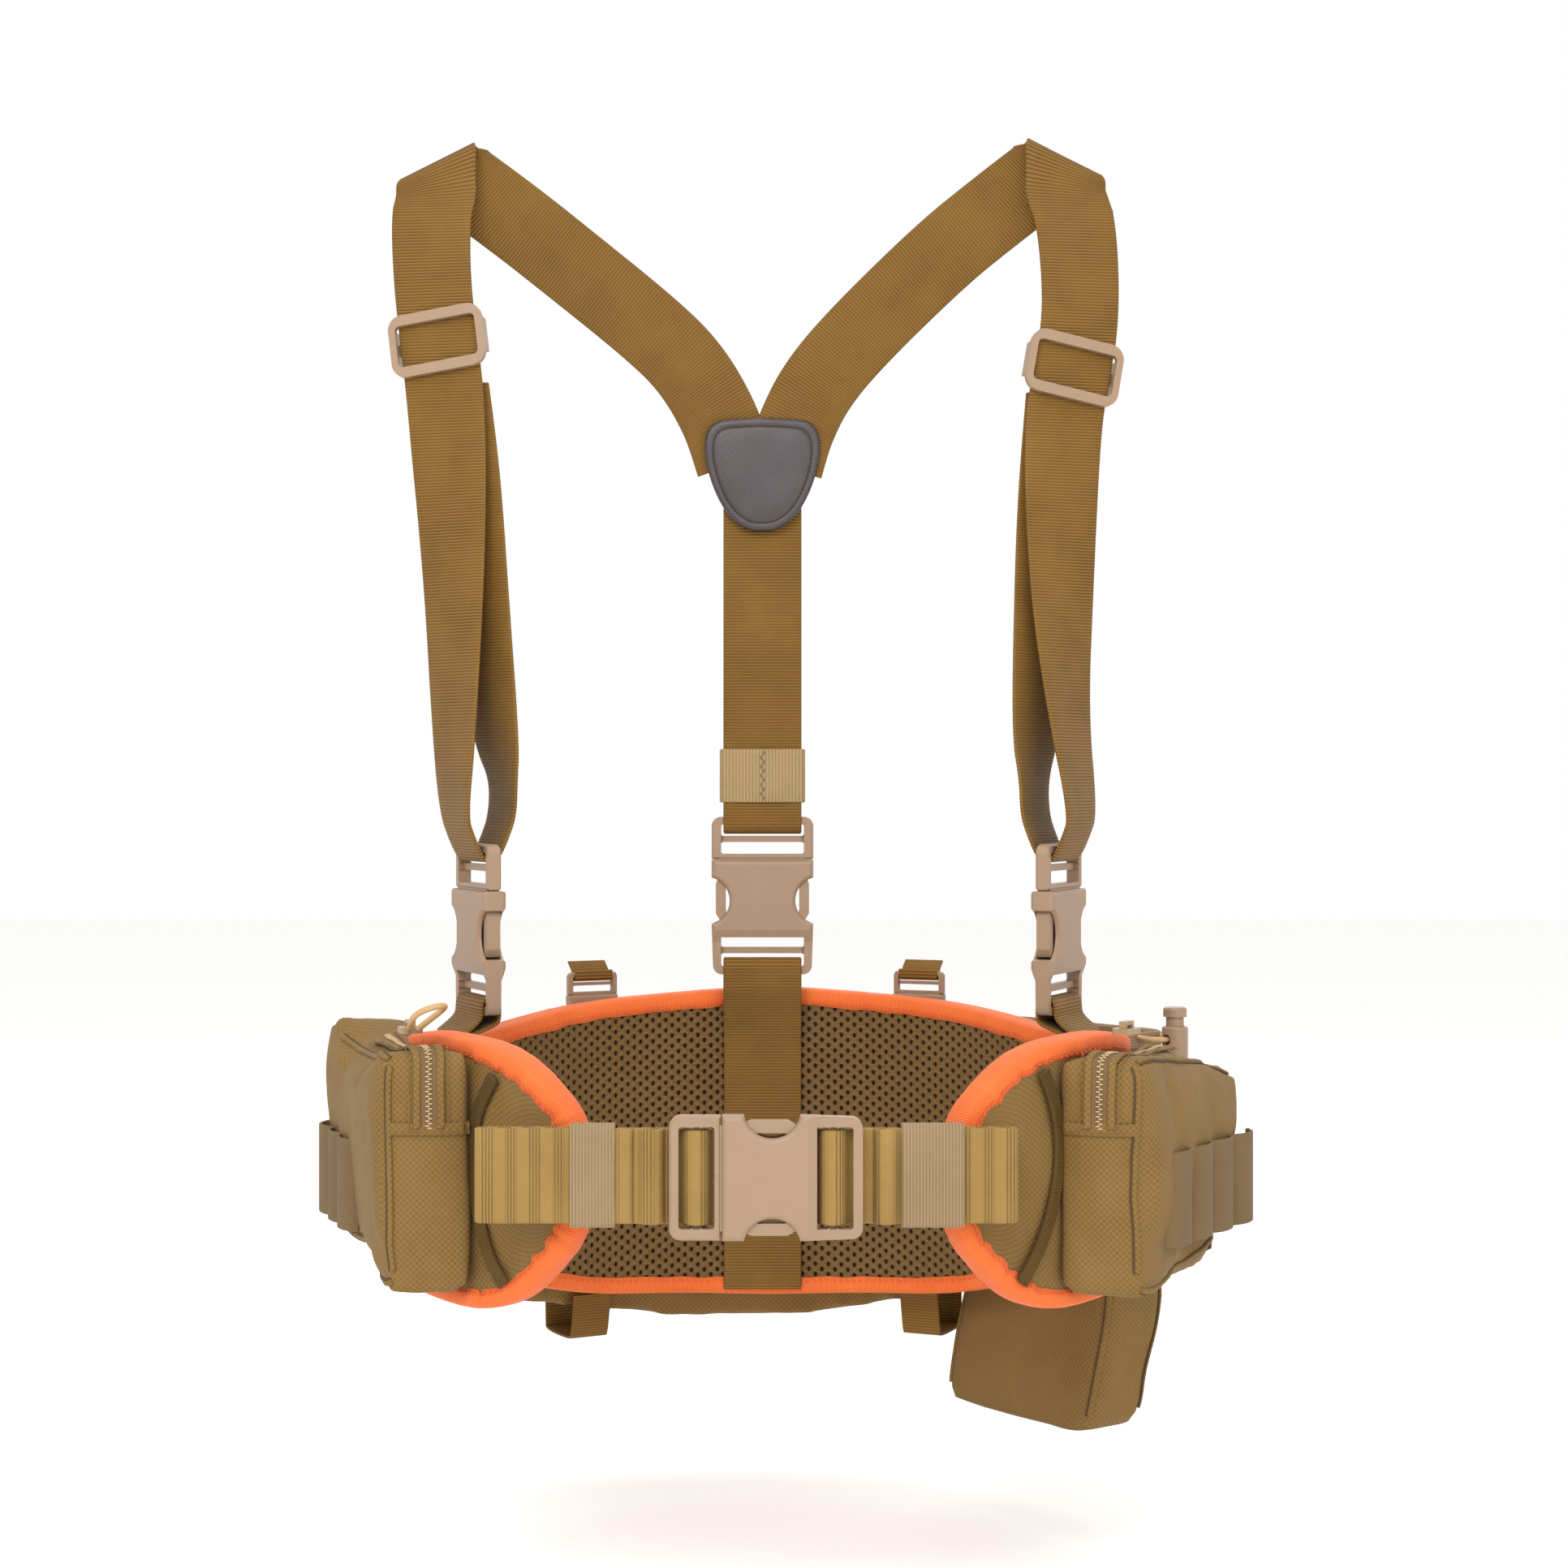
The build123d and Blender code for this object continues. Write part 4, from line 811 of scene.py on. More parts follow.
section = np.array([(-1.0, 13.9, 1.0), (-0.55, 14.5, 1.0), (-0.1, 14.5, 0.5), (0.06, 13.2, 0.2), (0.11, 10.5, 0.0),
                    (0.13, 7.0, 0.0), (0.11, 3.0, 0.0), (0.06, 0.6, 0.2), (-0.1, -0.7, 0.5), (-0.55, -0.75, 1.0),
                    (-1.0, -0.2, 1.0), (-1.0, 0.1, 1.0), (-0.1, 0.4, 0.0), (0.0, 7.0, 0.0), (-0.1, 13.1, 0.0),
                    (-1.0, 13.6, 1.0)])
out = section[None, :, 1] * MM + np.where(section[:, 1] > 7, 1, -1)[None] * section[None, :, 2] * pucker[:, None]
slip = section[None, :, 0] * lip[:, None]
place = loop[:, None, :] + outward[:, None, :] * slip[..., None]
points = wrap(place[..., 0], place[..., 1], out)
steps, sides = points.shape[:2]
quads = grid_quads(steps, sides, loop_rows=True, loop_cols=True)
across = np.concatenate([[0], np.cumsum(np.hypot(np.diff(section[:, 0]) * 7.4, np.diff(section[:, 1])))]) * MM
uv = grid_uv(np.append(at, length[-1]), across, loop_cols=True)
binding = make_object("belt_binding_tape", points.reshape(-1, 3), quads, uv, binding_mat, "belt")
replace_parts(binding, "belt_binding")
pick = np.arange(0, count, 3)
for face, height in (("out", 14.75), ("in", -0.95)):
    spot = loop[pick] - outward[pick] * (lip[pick] * 0.78)[:, None]
    lift = np.full(len(pick), height) * MM + (1 if height > 7 else -1) * pucker[pick] * 0.9
    spots = wrap(spot[:, 0], spot[:, 1], lift)
    ahead = wrap(spot[:, 0] + run[pick, 0] * MM, spot[:, 1] + run[pick, 1] * MM, lift)
    normal = wrap(spot[:, 0], spot[:, 1], lift + MM) - spots
    stitches(f"binding_stitches_{face}", spots, ahead - spots, normal, 2.1 * MM, 0.28 * MM, orange_thread_mat, "belt")
print("binding", steps, "steps")

# %% [markdown]
# ## Elastic keepers
# Each keeper is a band of elastic round both layers of webbing, sewn into a loop at the back.


# %% Elastic keepers
def band(name, seat, y, wide, z_low, z_high, body, material):
    """Elastic loop round a strap: a flat oval path across the strap and back."""
    half = 20.3
    ring_path = [(0, z_low), (half - 2, z_low), (half, z_low + 1.2), (half, z_high - 1.2), (half - 2, z_high),
                 (0, z_high + 0.5), (2 - half, z_high), (-half, z_high - 1.2), (-half, z_low + 1.2), (2 - half, z_low),
                 (0.3, z_low)]
    return webbing(name, [np.concatenate([seat.at(y, z, x), seat.y]) for x, z in ring_path], wide * MM, 1.1 * MM,
                   body, material, 1.4 * MM, 0.0, 2)


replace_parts(band("waist_keeper_left_band", waist, 51.8, 18, -10.7, -2.4, "waist_keeper_left", elastic_mat),
            "waist_keeper_left")
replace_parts(band("waist_keeper_right_band", waist, -83.8, 25, -10.7, -2.4, "waist_keeper_right", elastic_mat),
            "waist_keeper_right")
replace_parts(band("back_keeper_band", back, 41, 26, -5.6, 5.6, "back_keeper", elastic_rib_mat), "back_keeper")
rows = np.arange(11)
spots = np.array([back.at(30 + 2.2 * i, 6.9, 0.6 * (-1) ** i) for i in rows])
stitches("back_keeper_stitches", spots, np.array([back.y + back.x * 0.5 * (-1) ** i for i in rows]),
         np.repeat(back.z[None], len(rows), axis=0), 2.4 * MM, 0.3 * MM, thread_mat, "back_keeper")

# %% [markdown]
# ## Leather yoke patch
# A rounded shield of leather covers the crossing. It is a dome a millimetre high: rings of points shrink
# from the outline to the middle while the height rises, and a sewn groove runs 4 mm inside the edge.

# %% Leather yoke patch
yoke_wide, yoke_tall = yoke_high[0] - yoke_low[0], yoke_high[2] - yoke_low[2]
shield = np.array([(0, 0.5), (0.36, 0.49), (0.47, 0.42), (0.505, 0.28), (0.49, 0.1), (0.42, -0.14), (0.3, -0.36),
                   (0.14, -0.485), (0, -0.5)])
shield = np.vstack([shield, shield[-2:0:-1] * [-1, 1]]) * [yoke_wide, yoke_tall]
outline = even_outline(shield, 3, yoke_wide * 3.05 / 150)
inner = np.array([1.0, 1.0, 0.985, 0.955, 0.9, 0.875, 0.855, 0.835, 0.79, 0.6, 0.35, 0.1, 0.004])
level_of = np.array([1.4, 0.2, -0.5, -0.9, -1.05, -0.85, -0.6, -0.9, -1.15, -1.3, -1.4, -1.45, -1.45])
dome = np.concatenate([outline[None] * inner[:, None, None], np.broadcast_to(level_of[:, None, None],
                                                                          (len(inner), len(outline), 1))], axis=2)
wobble = noise(dome.reshape(-1, 3), 14.0, 5).reshape(dome.shape[:2]) * 0.35
points = np.stack([yoke_x + dome[..., 0], yoke_y - 0.2 + dome[..., 2] + wobble, yoke_z + dome[..., 1]], axis=-1) * MM
quads = grid_quads(len(inner), len(outline), loop_cols=True)
uv = grid_uv(np.cumsum(inner) * 0.01, np.arange(len(outline)) * MM, loop_cols=True)
patch = make_object("yoke_patch_leather", points.reshape(-1, 3), quads, uv, leather_mat, "harness")
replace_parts(patch, "yoke_patch")
around = points[6][::2]
ahead = np.roll(around, -1, axis=0) - np.roll(around, 1, axis=0)
stitches("yoke_stitches", around + [0, -0.0002, 0], ahead, np.repeat([[0, -1.0, 0]], len(around), axis=0),
         1.9 * MM, 0.36 * MM, brown_thread_mat, "harness")

# %% [markdown]
# ## Pouches
# A pouch starts as a box with rounded edges on its own footprint. Cloth simulation with a little pressure
# then rounds its panels the way a filled pouch does, its movement is capped, and creases are pressed in
# along lines where the real one folds. Where simulation is skipped, the same creases still shape it.


# %% Pouch helpers
def read(items, field, width=3, kind=np.float32):
    """One field of a mesh's vertices, corners or faces, as an array with a row for each."""
    values = np.empty(len(items) * width, dtype=kind)
    items.foreach_get(field, values)
    return values.reshape(-1, width)


def box_uv(thing, facing):
    """UV by the main direction of each face: across its panel and up, from plan direction (x, y)."""
    data = thing.data
    points = read(data.vertices, "co")
    which = read(data.loops, "vertex_index", 1, np.int32)[:, 0]
    sizes = read(data.polygons, "loop_total", 1, np.int32)[:, 0]
    normals = np.repeat(read(data.polygons, "normal"), sizes, axis=0)
    front = unit(np.array([facing[0], facing[1], 0.0]))
    side = np.array([-front[1], front[0], 0.0])
    up = np.array([0, 0, 1.0])
    facing_front = np.abs(normals @ front)
    facing_side = np.abs(normals @ side)
    is_level = np.abs(normals @ up) * 0.9 > np.maximum(facing_front, facing_side)
    spot = points[which]
    along = np.where(is_level | (facing_front >= facing_side), spot @ side, spot @ front)
    rise = np.where(is_level, spot @ front, spot @ up)
    layer = data.uv_layers.get("cloth") or data.uv_layers.new(name="cloth")
    layer.data.foreach_set("uv", (np.stack([along, rise], axis=1) * CM).astype(np.float32).ravel())


def boxy(name, footprint, low, high, edge, material, body, lean):
    """Closed rounded box on a footprint in millimetres. Rows go up the outline; near the top and bottom
    the outline is drawn in along a quarter circle of the edge radius, and the caps shrink to the middle.
    Lean is a function that moves the points, so that the box slumps."""
    flat = even_outline(footprint, 2, 3.0)
    centre = flat.mean(axis=0)
    reach = np.linalg.norm(flat - centre, axis=1)
    quarter = np.radians(np.linspace(0, 90, 5))
    rows = [(low, s, edge) for s in (0.05, 0.3, 0.55, 0.8)] \
        + [(low + edge * (1 - math.sin(q)), 1.0, edge * (1 - math.cos(q))) for q in quarter[::-1]] \
        + [(z, 1.0, 0.0) for z in np.linspace(low + edge, high - edge, 22)[1:-1]] \
        + [(high - edge * (1 - math.sin(q)), 1.0, edge * (1 - math.cos(q))) for q in quarter] \
        + [(high, s, edge) for s in (0.8, 0.55, 0.3, 0.05)]
    points = []
    for z, scale, inset in rows:
        pulled = centre + (flat - centre) * (scale * (1 - inset / reach))[:, None]
        points.append(np.hstack([pulled, np.full((len(flat), 1), z)]))
    points = np.array(points)
    points = lean(points.reshape(-1, 3)).reshape(points.shape)
    quads = np.vstack([grid_quads(len(rows), len(flat), loop_cols=True), end_caps(len(rows), len(flat))])
    thing = make_object(name, points.reshape(-1, 3) * MM, quads, np.zeros((quads.size, 2)), material, body)
    bpy.context.view_layer.objects.active = thing
    for other in bpy.context.selected_objects:
        other.select_set(False)
    thing.select_set(True)
    bpy.ops.object.mode_set(mode="EDIT")
    bpy.ops.mesh.select_all(action="SELECT")
    bpy.ops.mesh.normals_make_consistent(inside=False)
    bpy.ops.object.mode_set(mode="OBJECT")
    return thing


def apply_all(thing):
    """Replace the mesh by its evaluated one and clear the modifiers."""
    graph = bpy.context.evaluated_depsgraph_get()
    made = bpy.data.meshes.new_from_object(thing.evaluated_get(graph))
    thing.modifiers.clear()
    thing.data = made


CLOTH_FRAMES = 20


def inflate(thing, cap_mm, pressure=4.0, voxel_mm=4.5):
    """Remesh evenly, fill with pressure under cloth simulation, and cap how far each point may move."""
    remesh = thing.modifiers.new("even", "REMESH")
    remesh.mode = "VOXEL"
    remesh.voxel_size = voxel_mm * MM
    remesh.use_smooth_shade = True
    apply_all(thing)
    before = read(thing.data.vertices, "co")
    cloth = thing.modifiers.new("cloth", "CLOTH")
    cloth.settings.use_pressure = True
    cloth.settings.uniform_pressure_force = pressure
    cloth.settings.effector_weights.gravity = 0.0
    cloth.settings.tension_stiffness = 20
    cloth.settings.bending_stiffness = 2
    cloth.point_cache.frame_end = CLOTH_FRAMES
    for number in range(1, CLOTH_FRAMES + 1):
        scene.frame_set(number)
    apply_all(thing)
    move = read(thing.data.vertices, "co") - before
    size = np.linalg.norm(move, axis=1, keepdims=True)
    capped = move * np.minimum(1, cap_mm * MM / np.maximum(size, 1e-9))
    thing.data.vertices.foreach_set("co", (before + capped).astype(np.float32).ravel())
    scene.frame_set(1)
    print(thing.name, "largest move mm", round(float(size.max()) / MM, 1))
    finer = thing.modifiers.new("finer", "SUBSURF")
    finer.levels = finer.render_levels = 1
    apply_all(thing)


def press(thing, folds, ripple_mm=0.6, seed=1):
    """Push the surface in along fold lines: each fold is two points, a depth and a width in millimetres,
    and the push is the depth times exp(-(distance / width) squared). A slow noise adds unevenness."""
    data = thing.data
    points, normals = read(data.vertices, "co").astype(float), read(data.vertices, "normal")
    push = noise(points, 0.024, seed) * ripple_mm * MM + noise(points, 0.011, seed + 1) * ripple_mm * 0.4 * MM
    for a, b, deep, wide in folds:
        a, b = np.array(a) * MM, np.array(b) * MM
        share = np.clip(((points - a) @ (b - a)) / np.sum((b - a) ** 2), 0, 1)
        away = np.linalg.norm(points - a - share[:, None] * (b - a), axis=1)
        fade = np.sin(np.pi * np.clip(share, 0.06, 0.94)) ** 0.5
        push -= deep * MM * fade * np.exp(-(away / (wide * MM)) ** 2)
    points += normals * push[:, None]
    data.vertices.foreach_set("co", points.astype(np.float32).ravel())
    data.update()


def surface_of(thing):
    """Search tree of the finished surface, for laying trims on it."""
    from mathutils.bvhtree import BVHTree
    return BVHTree.FromObject(thing, bpy.context.evaluated_depsgraph_get())


def lay(tree, points, outward, lift_mm):
    """Drop points in millimetres onto a surface from outside, then lift them off it by a small height."""
    from mathutils import Vector
    laid, normals = [], []
    for point, way in zip(np.atleast_2d(points) * MM, np.broadcast_to(outward, np.atleast_2d(points).shape)):
        way = Vector(unit(np.array(way, dtype=float)))
        spot, normal, _, _ = tree.ray_cast(Vector(point) + way * 0.05, -way)
        if spot is None:
            spot, normal, _, _ = tree.find_nearest(Vector(point))
        laid.append(np.array(spot) + np.array(normal) * lift_mm * MM)
        normals.append(np.array(normal))
    return np.array(laid), np.array(normals)


def strip(name, centre, across, wide, thick, body, material):
    """Plain narrow strip along points that are already even; its width and thickness are in millimetres."""
    return webbing(name, np.hstack([centre, across]), wide * MM, thick * MM, body, material, 1.6 * MM, 0.0, 0)


def trim(name, tree, points, outward, wide, thick, lift, material, body):
    """Strip laid on a surface along a line: rays drop its centre, and its width lies in the surface."""
    dense, _ = even_steps(rounded_path(np.hstack([points, np.broadcast_to(outward, np.shape(points))]), 2), 2.5)
    laid, normals = lay(tree, dense[:, :3], dense[:, 3:], lift)
    kernel = np.ones(3) / 3
    padded_normals = np.pad(normals, ((1, 1), (0, 0)), mode="edge")
    normals = unit(np.stack([np.convolve(padded_normals[:, k], kernel, "valid") for k in range(3)], axis=1))
    run = unit(np.gradient(laid, axis=0))
    across = unit(np.cross(run, normals))
    return strip(name, laid, across, wide, thick, body, material), laid, normals, across


def piped_seam(seam, groove, tree, points, outward, wide, aside, sunk=0.0):
    """Piping along a line and a dark groove beside it, which lies this far aside and sunk in millimetres."""
    _, laid, normals, across = trim(seam, tree, points, outward, wide, 2.0, 0.4, canvas_mat, "belt")
    strip(groove, laid + across * aside * MM - normals * sunk * MM, across, 0.8, 0.6, "belt", groove_mat)


def sewn(name, laid, normals, body, across, shift, lift):
    """Line of stitches along a laid line, shifted sideways and lifted off it in millimetres."""
    both, _ = even_steps(np.hstack([laid + across * shift * MM, normals]), 3.1 * MM)
    run = np.gradient(both[:, :3], axis=0)
    stitches(name, both[:, :3] + unit(both[:, 3:]) * lift * MM, run, both[:, 3:], 2.2 * MM, 0.27 * MM, thread_mat, body)


ZIP_WIDE = 11.0


def zip_on(name, tree, points, outward, body):
    """Zip along a line: tape, two rows of coil, a canvas fold each side, and a line of stitches beyond."""
    tape, laid, normals, across = trim(f"{name}_tape", tree, points, outward, ZIP_WIDE, 0.8, 0.5, zip_tape_mat, body)
    for side, edge_name in ((-1, "low"), (1, "high")):
        fold = laid + across * side * (ZIP_WIDE / 2 - 0.6) * MM + normals * 0.5 * MM
        strip(f"{name}_fold_{edge_name}", fold, across, 3.4, 1.7, body, canvas_mat)
        sewn(f"{name}_stitches_{edge_name}", laid, normals, body, across, side * (ZIP_WIDE / 2 + 2.6), 0.5)
    both, _ = even_steps(np.hstack([laid, normals, across]), 1.0 * MM)
    flip = np.where(np.arange(len(both)) % 2 == 0, 1, -1)[:, None]
    centre = both[:, :3] + both[:, 3:6] * 0.9 * MM + both[:, 6:] * flip * 0.5 * MM
    stitches(f"{name}_teeth", centre, both[:, 6:], both[:, 3:6], 2.0 * MM, 0.45 * MM, teeth_mat, body)
    return tape


# %% Side pouches
POUCH_LOW, POUCH_HIGH = -57.0, 49.0
LEFT_FACE, RIGHT_FACE = ((-156, -100), (-200, 30)), ((152, -105), (213, 0))
pouch_spec = {
    "left": ([-133, -124, -116, -108, -100, -92, -84], LEFT_FACE,
             [((-190, 10, 47), (-163, -62, 49), 4.5, 9), ((-172, -92, 40), (-160, -100, 12), 1.6, 5),
              ((-165, -86, -30), (-150, -101, -50), 2.2, 7), ((-190, 0, 30), (-178, -36, 22), 3.0, 8),
              ((-152, -102, -20), (-136, -96, -50), 1.4, 8), ((-128, -92, -30), (-140, -98, -52), 1.5, 6)]),
    "right": ([133, 124, 116, 108, 101], RIGHT_FACE,
              [((166, -84, 38), (172, -76, 8), 2.0, 7), ((176, -66, 44), (200, -22, 34), 3.2, 8),
               ((160, -96, -36), (186, -50, -30), 3.2, 8), ((172, -74, -44), (204, -16, -34), 4.5, 10),
               ((150, -104, 14), (146, -100, -20), 1.8, 7), ((124, -94, -22), (140, -100, -46), 1.8, 8),
               ((188, -44, 20), (192, -38, -6), 1.4, 6)])}


def lean_left(p):
    """The left pouch's outer rear top corner sags, and its outer bottom edge is drawn in."""
    rear = np.clip((p[:, 1] + 100) / 130, 0, 1)
    outer = np.clip((-p[:, 0] - 140) / 50, 0, 1)
    up = np.clip((p[:, 2] + 57) / 106, 0, 1)
    p = p.copy()
    p[:, 2] += 5 * rear * up - 5 * outer * up * (1 - rear) + 3 * outer * (1 - up)
    p[:, 0] += 9 * outer * (1 - up) ** 2
    return p


def lean_right(p):
    """The right pouch slumps: its outer top rear corner drops, and its outer rear edge is drawn in below."""
    rear = np.clip((p[:, 1] + 105) / 105, 0, 1)
    outer = np.clip((p[:, 0] - 140) / 65, 0, 1)
    up = np.clip((p[:, 2] + 57) / 106, 0, 1)
    p = p.copy()
    p[:, 2] += -20 * rear * outer * up ** 2 + 2 * outer * (1 - up) * (1 - rear) - 3 * up * (1 - rear)
    p[:, 0] -= 17 * rear * outer * (1 - up) ** 1.5
    p[:, 1] -= 6 * rear * outer * (1 - up)
    return p


def ring_mm(turn, out):
    """Plan point on the belt ring at an angle in degrees and a distance outward in millimetres."""
    return wrap(np.atleast_1d(arc_at(turn)), np.zeros(1), np.full(1, out * MM))[0, :2] / MM


pouches = {}
for where, (angles, face, folds) in pouch_spec.items():
    inner_side = [ring_mm(a, 15.6) for a in angles]
    footprint = np.array(inner_side + [face[1], face[0]], dtype=float)
    centre = footprint.mean(axis=0)
    sharper = []
    for i, p in enumerate(footprint):
        before, after = footprint[i - 1], footprint[(i + 1) % len(footprint)]
        if i == 0 or i >= len(inner_side) - 1:
            sharper += [p + (before - p) * min(0.3, 5 / np.linalg.norm(before - p)), p,
                        p + (after - p) * min(0.3, 5 / np.linalg.norm(after - p))]
        else:
            sharper.append(p)
    pouch = boxy(f"side_pouch_{where}_bag", np.array(sharper), POUCH_LOW + 1, POUCH_HIGH - 1.5, 9, canvas_mat,
                 "belt", lean_left if where == "left" else lean_right)
    inflate(pouch, 5.0)
    press(pouch, folds, 0.7, 11 if where == "left" else 21)
    out_way = np.array([face[0][0] - footprint[0][0], face[0][1] - footprint[0][1]])
    gusset = unit(np.array([out_way[1], -out_way[0]]) * (1 if where == "right" else -1))
    if gusset[1] > 0:
        gusset = -gusset
    box_uv(pouch, gusset)
    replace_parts(pouch, f"side_pouch_{where}")
    pouches[where] = (surface_of(pouch), face, footprint, gusset)
    print(pouch.name, len(pouch.data.polygons), "faces")

# %% [markdown]
# ## Trims on the side pouches
# The zip starts low on the front gusset and runs up and over the top. Below it a hemmed panel covers the
# gusset. Piped seams mark the edges between panels, and dark tape binds the edge against the belt.

# %% Trims on the side pouches
TAPE_OUT = 16.4 * MM
RUN_ACROSS = 0.737      # share of the ring's run that goes along x beside the pouches
for where, (tree, face, footprint, gusset) in pouches.items():
    side = -1 if where == "left" else 1
    front_out, rear_out = [np.array(corner, dtype=float) for corner in face]
    front_in = footprint[0]
    g3 = np.array([gusset[0], gusset[1], 0.0])
    up = np.array([0, 0, 1.0])
    face_dir = unit(rear_out - front_out)
    face_out = np.array([face_dir[1], -face_dir[0], 0.0])
    face_out = face_out if face_out[0] * side > 0 else -face_out
    across_gusset = front_in - front_out
    zip_at = front_out + across_gusset * 0.45
    mouth_far = (rear_out + footprint[len(footprint) - 3]) / 2
    mouth = [(*(zip_at + unit(mouth_far - zip_at) * s), POUCH_HIGH) for s in (7, 22, 50, 88 if side < 0 else 66)]
    route = [(*zip_at, 15.0), (*zip_at, 26.0), (*zip_at, 37.0), (*(zip_at + gusset * 1.0), 46.0)] + mouth
    ways = [g3, g3, g3, unit(g3 + up)] + [up] * 4
    zip_on(f"zip_{where}", tree, np.array(route), np.array(ways), "belt")
    a, b = front_out + across_gusset * 0.03, front_out + across_gusset * 0.98
    line = np.array([(*(a + (b - a) * s), 14.5) for s in (0, 0.33, 0.66, 1)])
    _, laid, normals, across = trim(f"gusset_hem_{where}", tree, line, g3, 5.5, 1.5, 0.5, canvas_mat, "belt")
    sewn(f"gusset_hem_stitches_{where}", laid, normals, "belt", across, 1.4 if across[0][2] < 0 else -1.4, 0.95)
    corner_out = unit(g3 + face_out)
    seams = {"front": [(*front_out, z) for z in (40, 20, 0, -20, -44)],
             "top": [(*(front_out + face_dir * s), 44) for s in (4, 40, 80, 112)],
             "bottom": [(*(front_out + face_dir * s), -52) for s in (4, 40, 80, 112)]}
    ways = {"front": corner_out, "top": unit(face_out + up), "bottom": unit(face_out - up)}
    for seam, points in seams.items():
        piped_seam(f"seam_{seam}_{where}", f"groove_{seam}_{where}", tree, np.array(points, dtype=float),
                   ways[seam], 2.6, 1.6, 0.1)
    # The tape lies on the belt beside the pouch: a height, and how far in from the pouch's corner.
    tape_line = {-1: [(36, 5), (18, -3), (-12, -3), (-38, 3), (-48, 9)],
                 1: [(38, 4), (24, -1), (4, -3), (-18, 0), (-36, 6), (-47, 12)]}[side]
    heights_mm, inward_mm = np.array(tape_line, dtype=float).T
    tape_arc = arc_at(133 * side) + side * inward_mm / RUN_ACROSS * MM
    tape_out = np.full(len(tape_arc), TAPE_OUT)
    tape_path = wrap(tape_arc, heights_mm * MM, tape_out)
    tape_across = unit(wrap(tape_arc + MM, heights_mm * MM, tape_out) - tape_path)
    webbing(f"edge_tape_{where}", np.hstack([tape_path, tape_across]), 6.5 * MM, 2.2 * MM, "belt", tape_mat, 1.1 * MM)

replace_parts(bpy.data.objects["zip_left_tape"], "side_pouch_zips")

# %% [markdown]
# ## Shell loops
# A strip of wide elastic is sewn down between loops and stands off the pouch in between: its distance from
# the face is the loop height times the square root of the sine of pi s over the pitch.

# %% Shell loops
LOOP_PITCH, LOOP_LOW, LOOP_HIGH = 24.0, -37.0, 3.0
for where, count, shift in (("left", 3, 30.0), ("right", 4, 10.0)):
    (x0, y0), (x1, y1) = pouch_spec[where][1]
    along = unit(np.array([x1 - x0, y1 - y0], dtype=float))
    away = np.array([along[1], -along[0]]) * (1 if x0 > 0 else -1)
    middle = np.array([(x0 + x1) / 2, (y0 + y1) / 2]) + along * shift
    reach = count * LOOP_PITCH / 2
    s = np.linspace(-reach - 2.5, reach + 2.5, 160)
    bulge = 5.6 * np.abs(np.sin(np.pi * (s + reach) / LOOP_PITCH)) ** 0.5 * (np.abs(s) < reach)
    flat = middle + along * s[:, None] + away * (bulge + 1.0)[:, None]
    stations = np.hstack([flat * MM, np.full((len(s), 1), (LOOP_LOW + LOOP_HIGH) / 2 * MM),
                          np.tile([0, 0, 1.0], (len(s), 1))])
    loops = webbing(f"shell_loops_{where}", stations, 40 * MM, 1.3 * MM, "belt", loop_mat, 1.2 * MM, 0.1, 1)
    if where == "left":
        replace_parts(loops, "shell_loops")
    rows = np.linspace(LOOP_LOW + 2, LOOP_HIGH - 2, 14)
    spots = np.array([(*(middle + along * (-reach + LOOP_PITCH * i) + away * 1.9), z)
                      for i in range(count + 1) for z in rows])
    stitches(f"shell_loop_stitches_{where}", spots * MM, np.tile([0, 0, 1.0], (len(spots), 1)),
             np.tile([away[0], away[1], 0], (len(spots), 1)), 2.2 * MM, 0.3 * MM, thread_mat, "belt")

# %% [markdown]
# ## Rear pouch
# The rear pouch follows the small of the back. Its bottom edge curves up towards both ends.

# %% Rear pouch
REAR_ANGLES, REAR_BULGE = [-46, -36, -24, -12, 0, 12, 21, 29], [16, 27, 36, 40, 40, 38, 33, 26]
inner_side = [ring_mm(a, 25.2) for a in REAR_ANGLES]
outer_side = [ring_mm(a, 24.0 + b) for a, b in zip(REAR_ANGLES, REAR_BULGE)]
rear_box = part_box("rear_pouch")
rear_low, rear_high = rear_box[0][2] / MM, rear_box[1][2] / MM


def lean_rear(p):
    """The bottom edge rises towards both ends, and the top edge drops a little there."""
    end = np.clip(np.abs(p[:, 0] + 16) / 96, 0, 1) ** 2
    up = (p[:, 2] - rear_low) / (rear_high - rear_low)
    p = p.copy()
    p[:, 2] += 16 * end * (1 - up) - 8 * end * up
    return p


rear = boxy("rear_pouch_bag", np.array(inner_side + outer_side[::-1]), rear_low + 1, rear_high - 1.5, 11, canvas_mat,
            "belt", lean_rear)
inflate(rear, 2.5, voxel_mm=5.0)
press(rear, [((-60, 150, 30), (-20, 165, 10), 3, 10), ((10, 160, -20), (60, 150, -60), 3, 12),
             ((-70, 140, -60), (-30, 160, -90), 3, 10)], 0.9, 31)
box_uv(rear, (0, -1))
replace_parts(rear, "rear_pouch")
rear_tree = surface_of(rear)
mouth = np.array([(*ring_mm(a, 24.3 + 13), rear_high) for a in (-34, -26, -17, -8, 0, 8, 16, 24)])
zip_rear = zip_on("zip_rear", rear_tree, mouth, np.array([[0, 0, 1.0]] * len(mouth)), "belt")
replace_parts(zip_rear, "rear_pouch_zip")
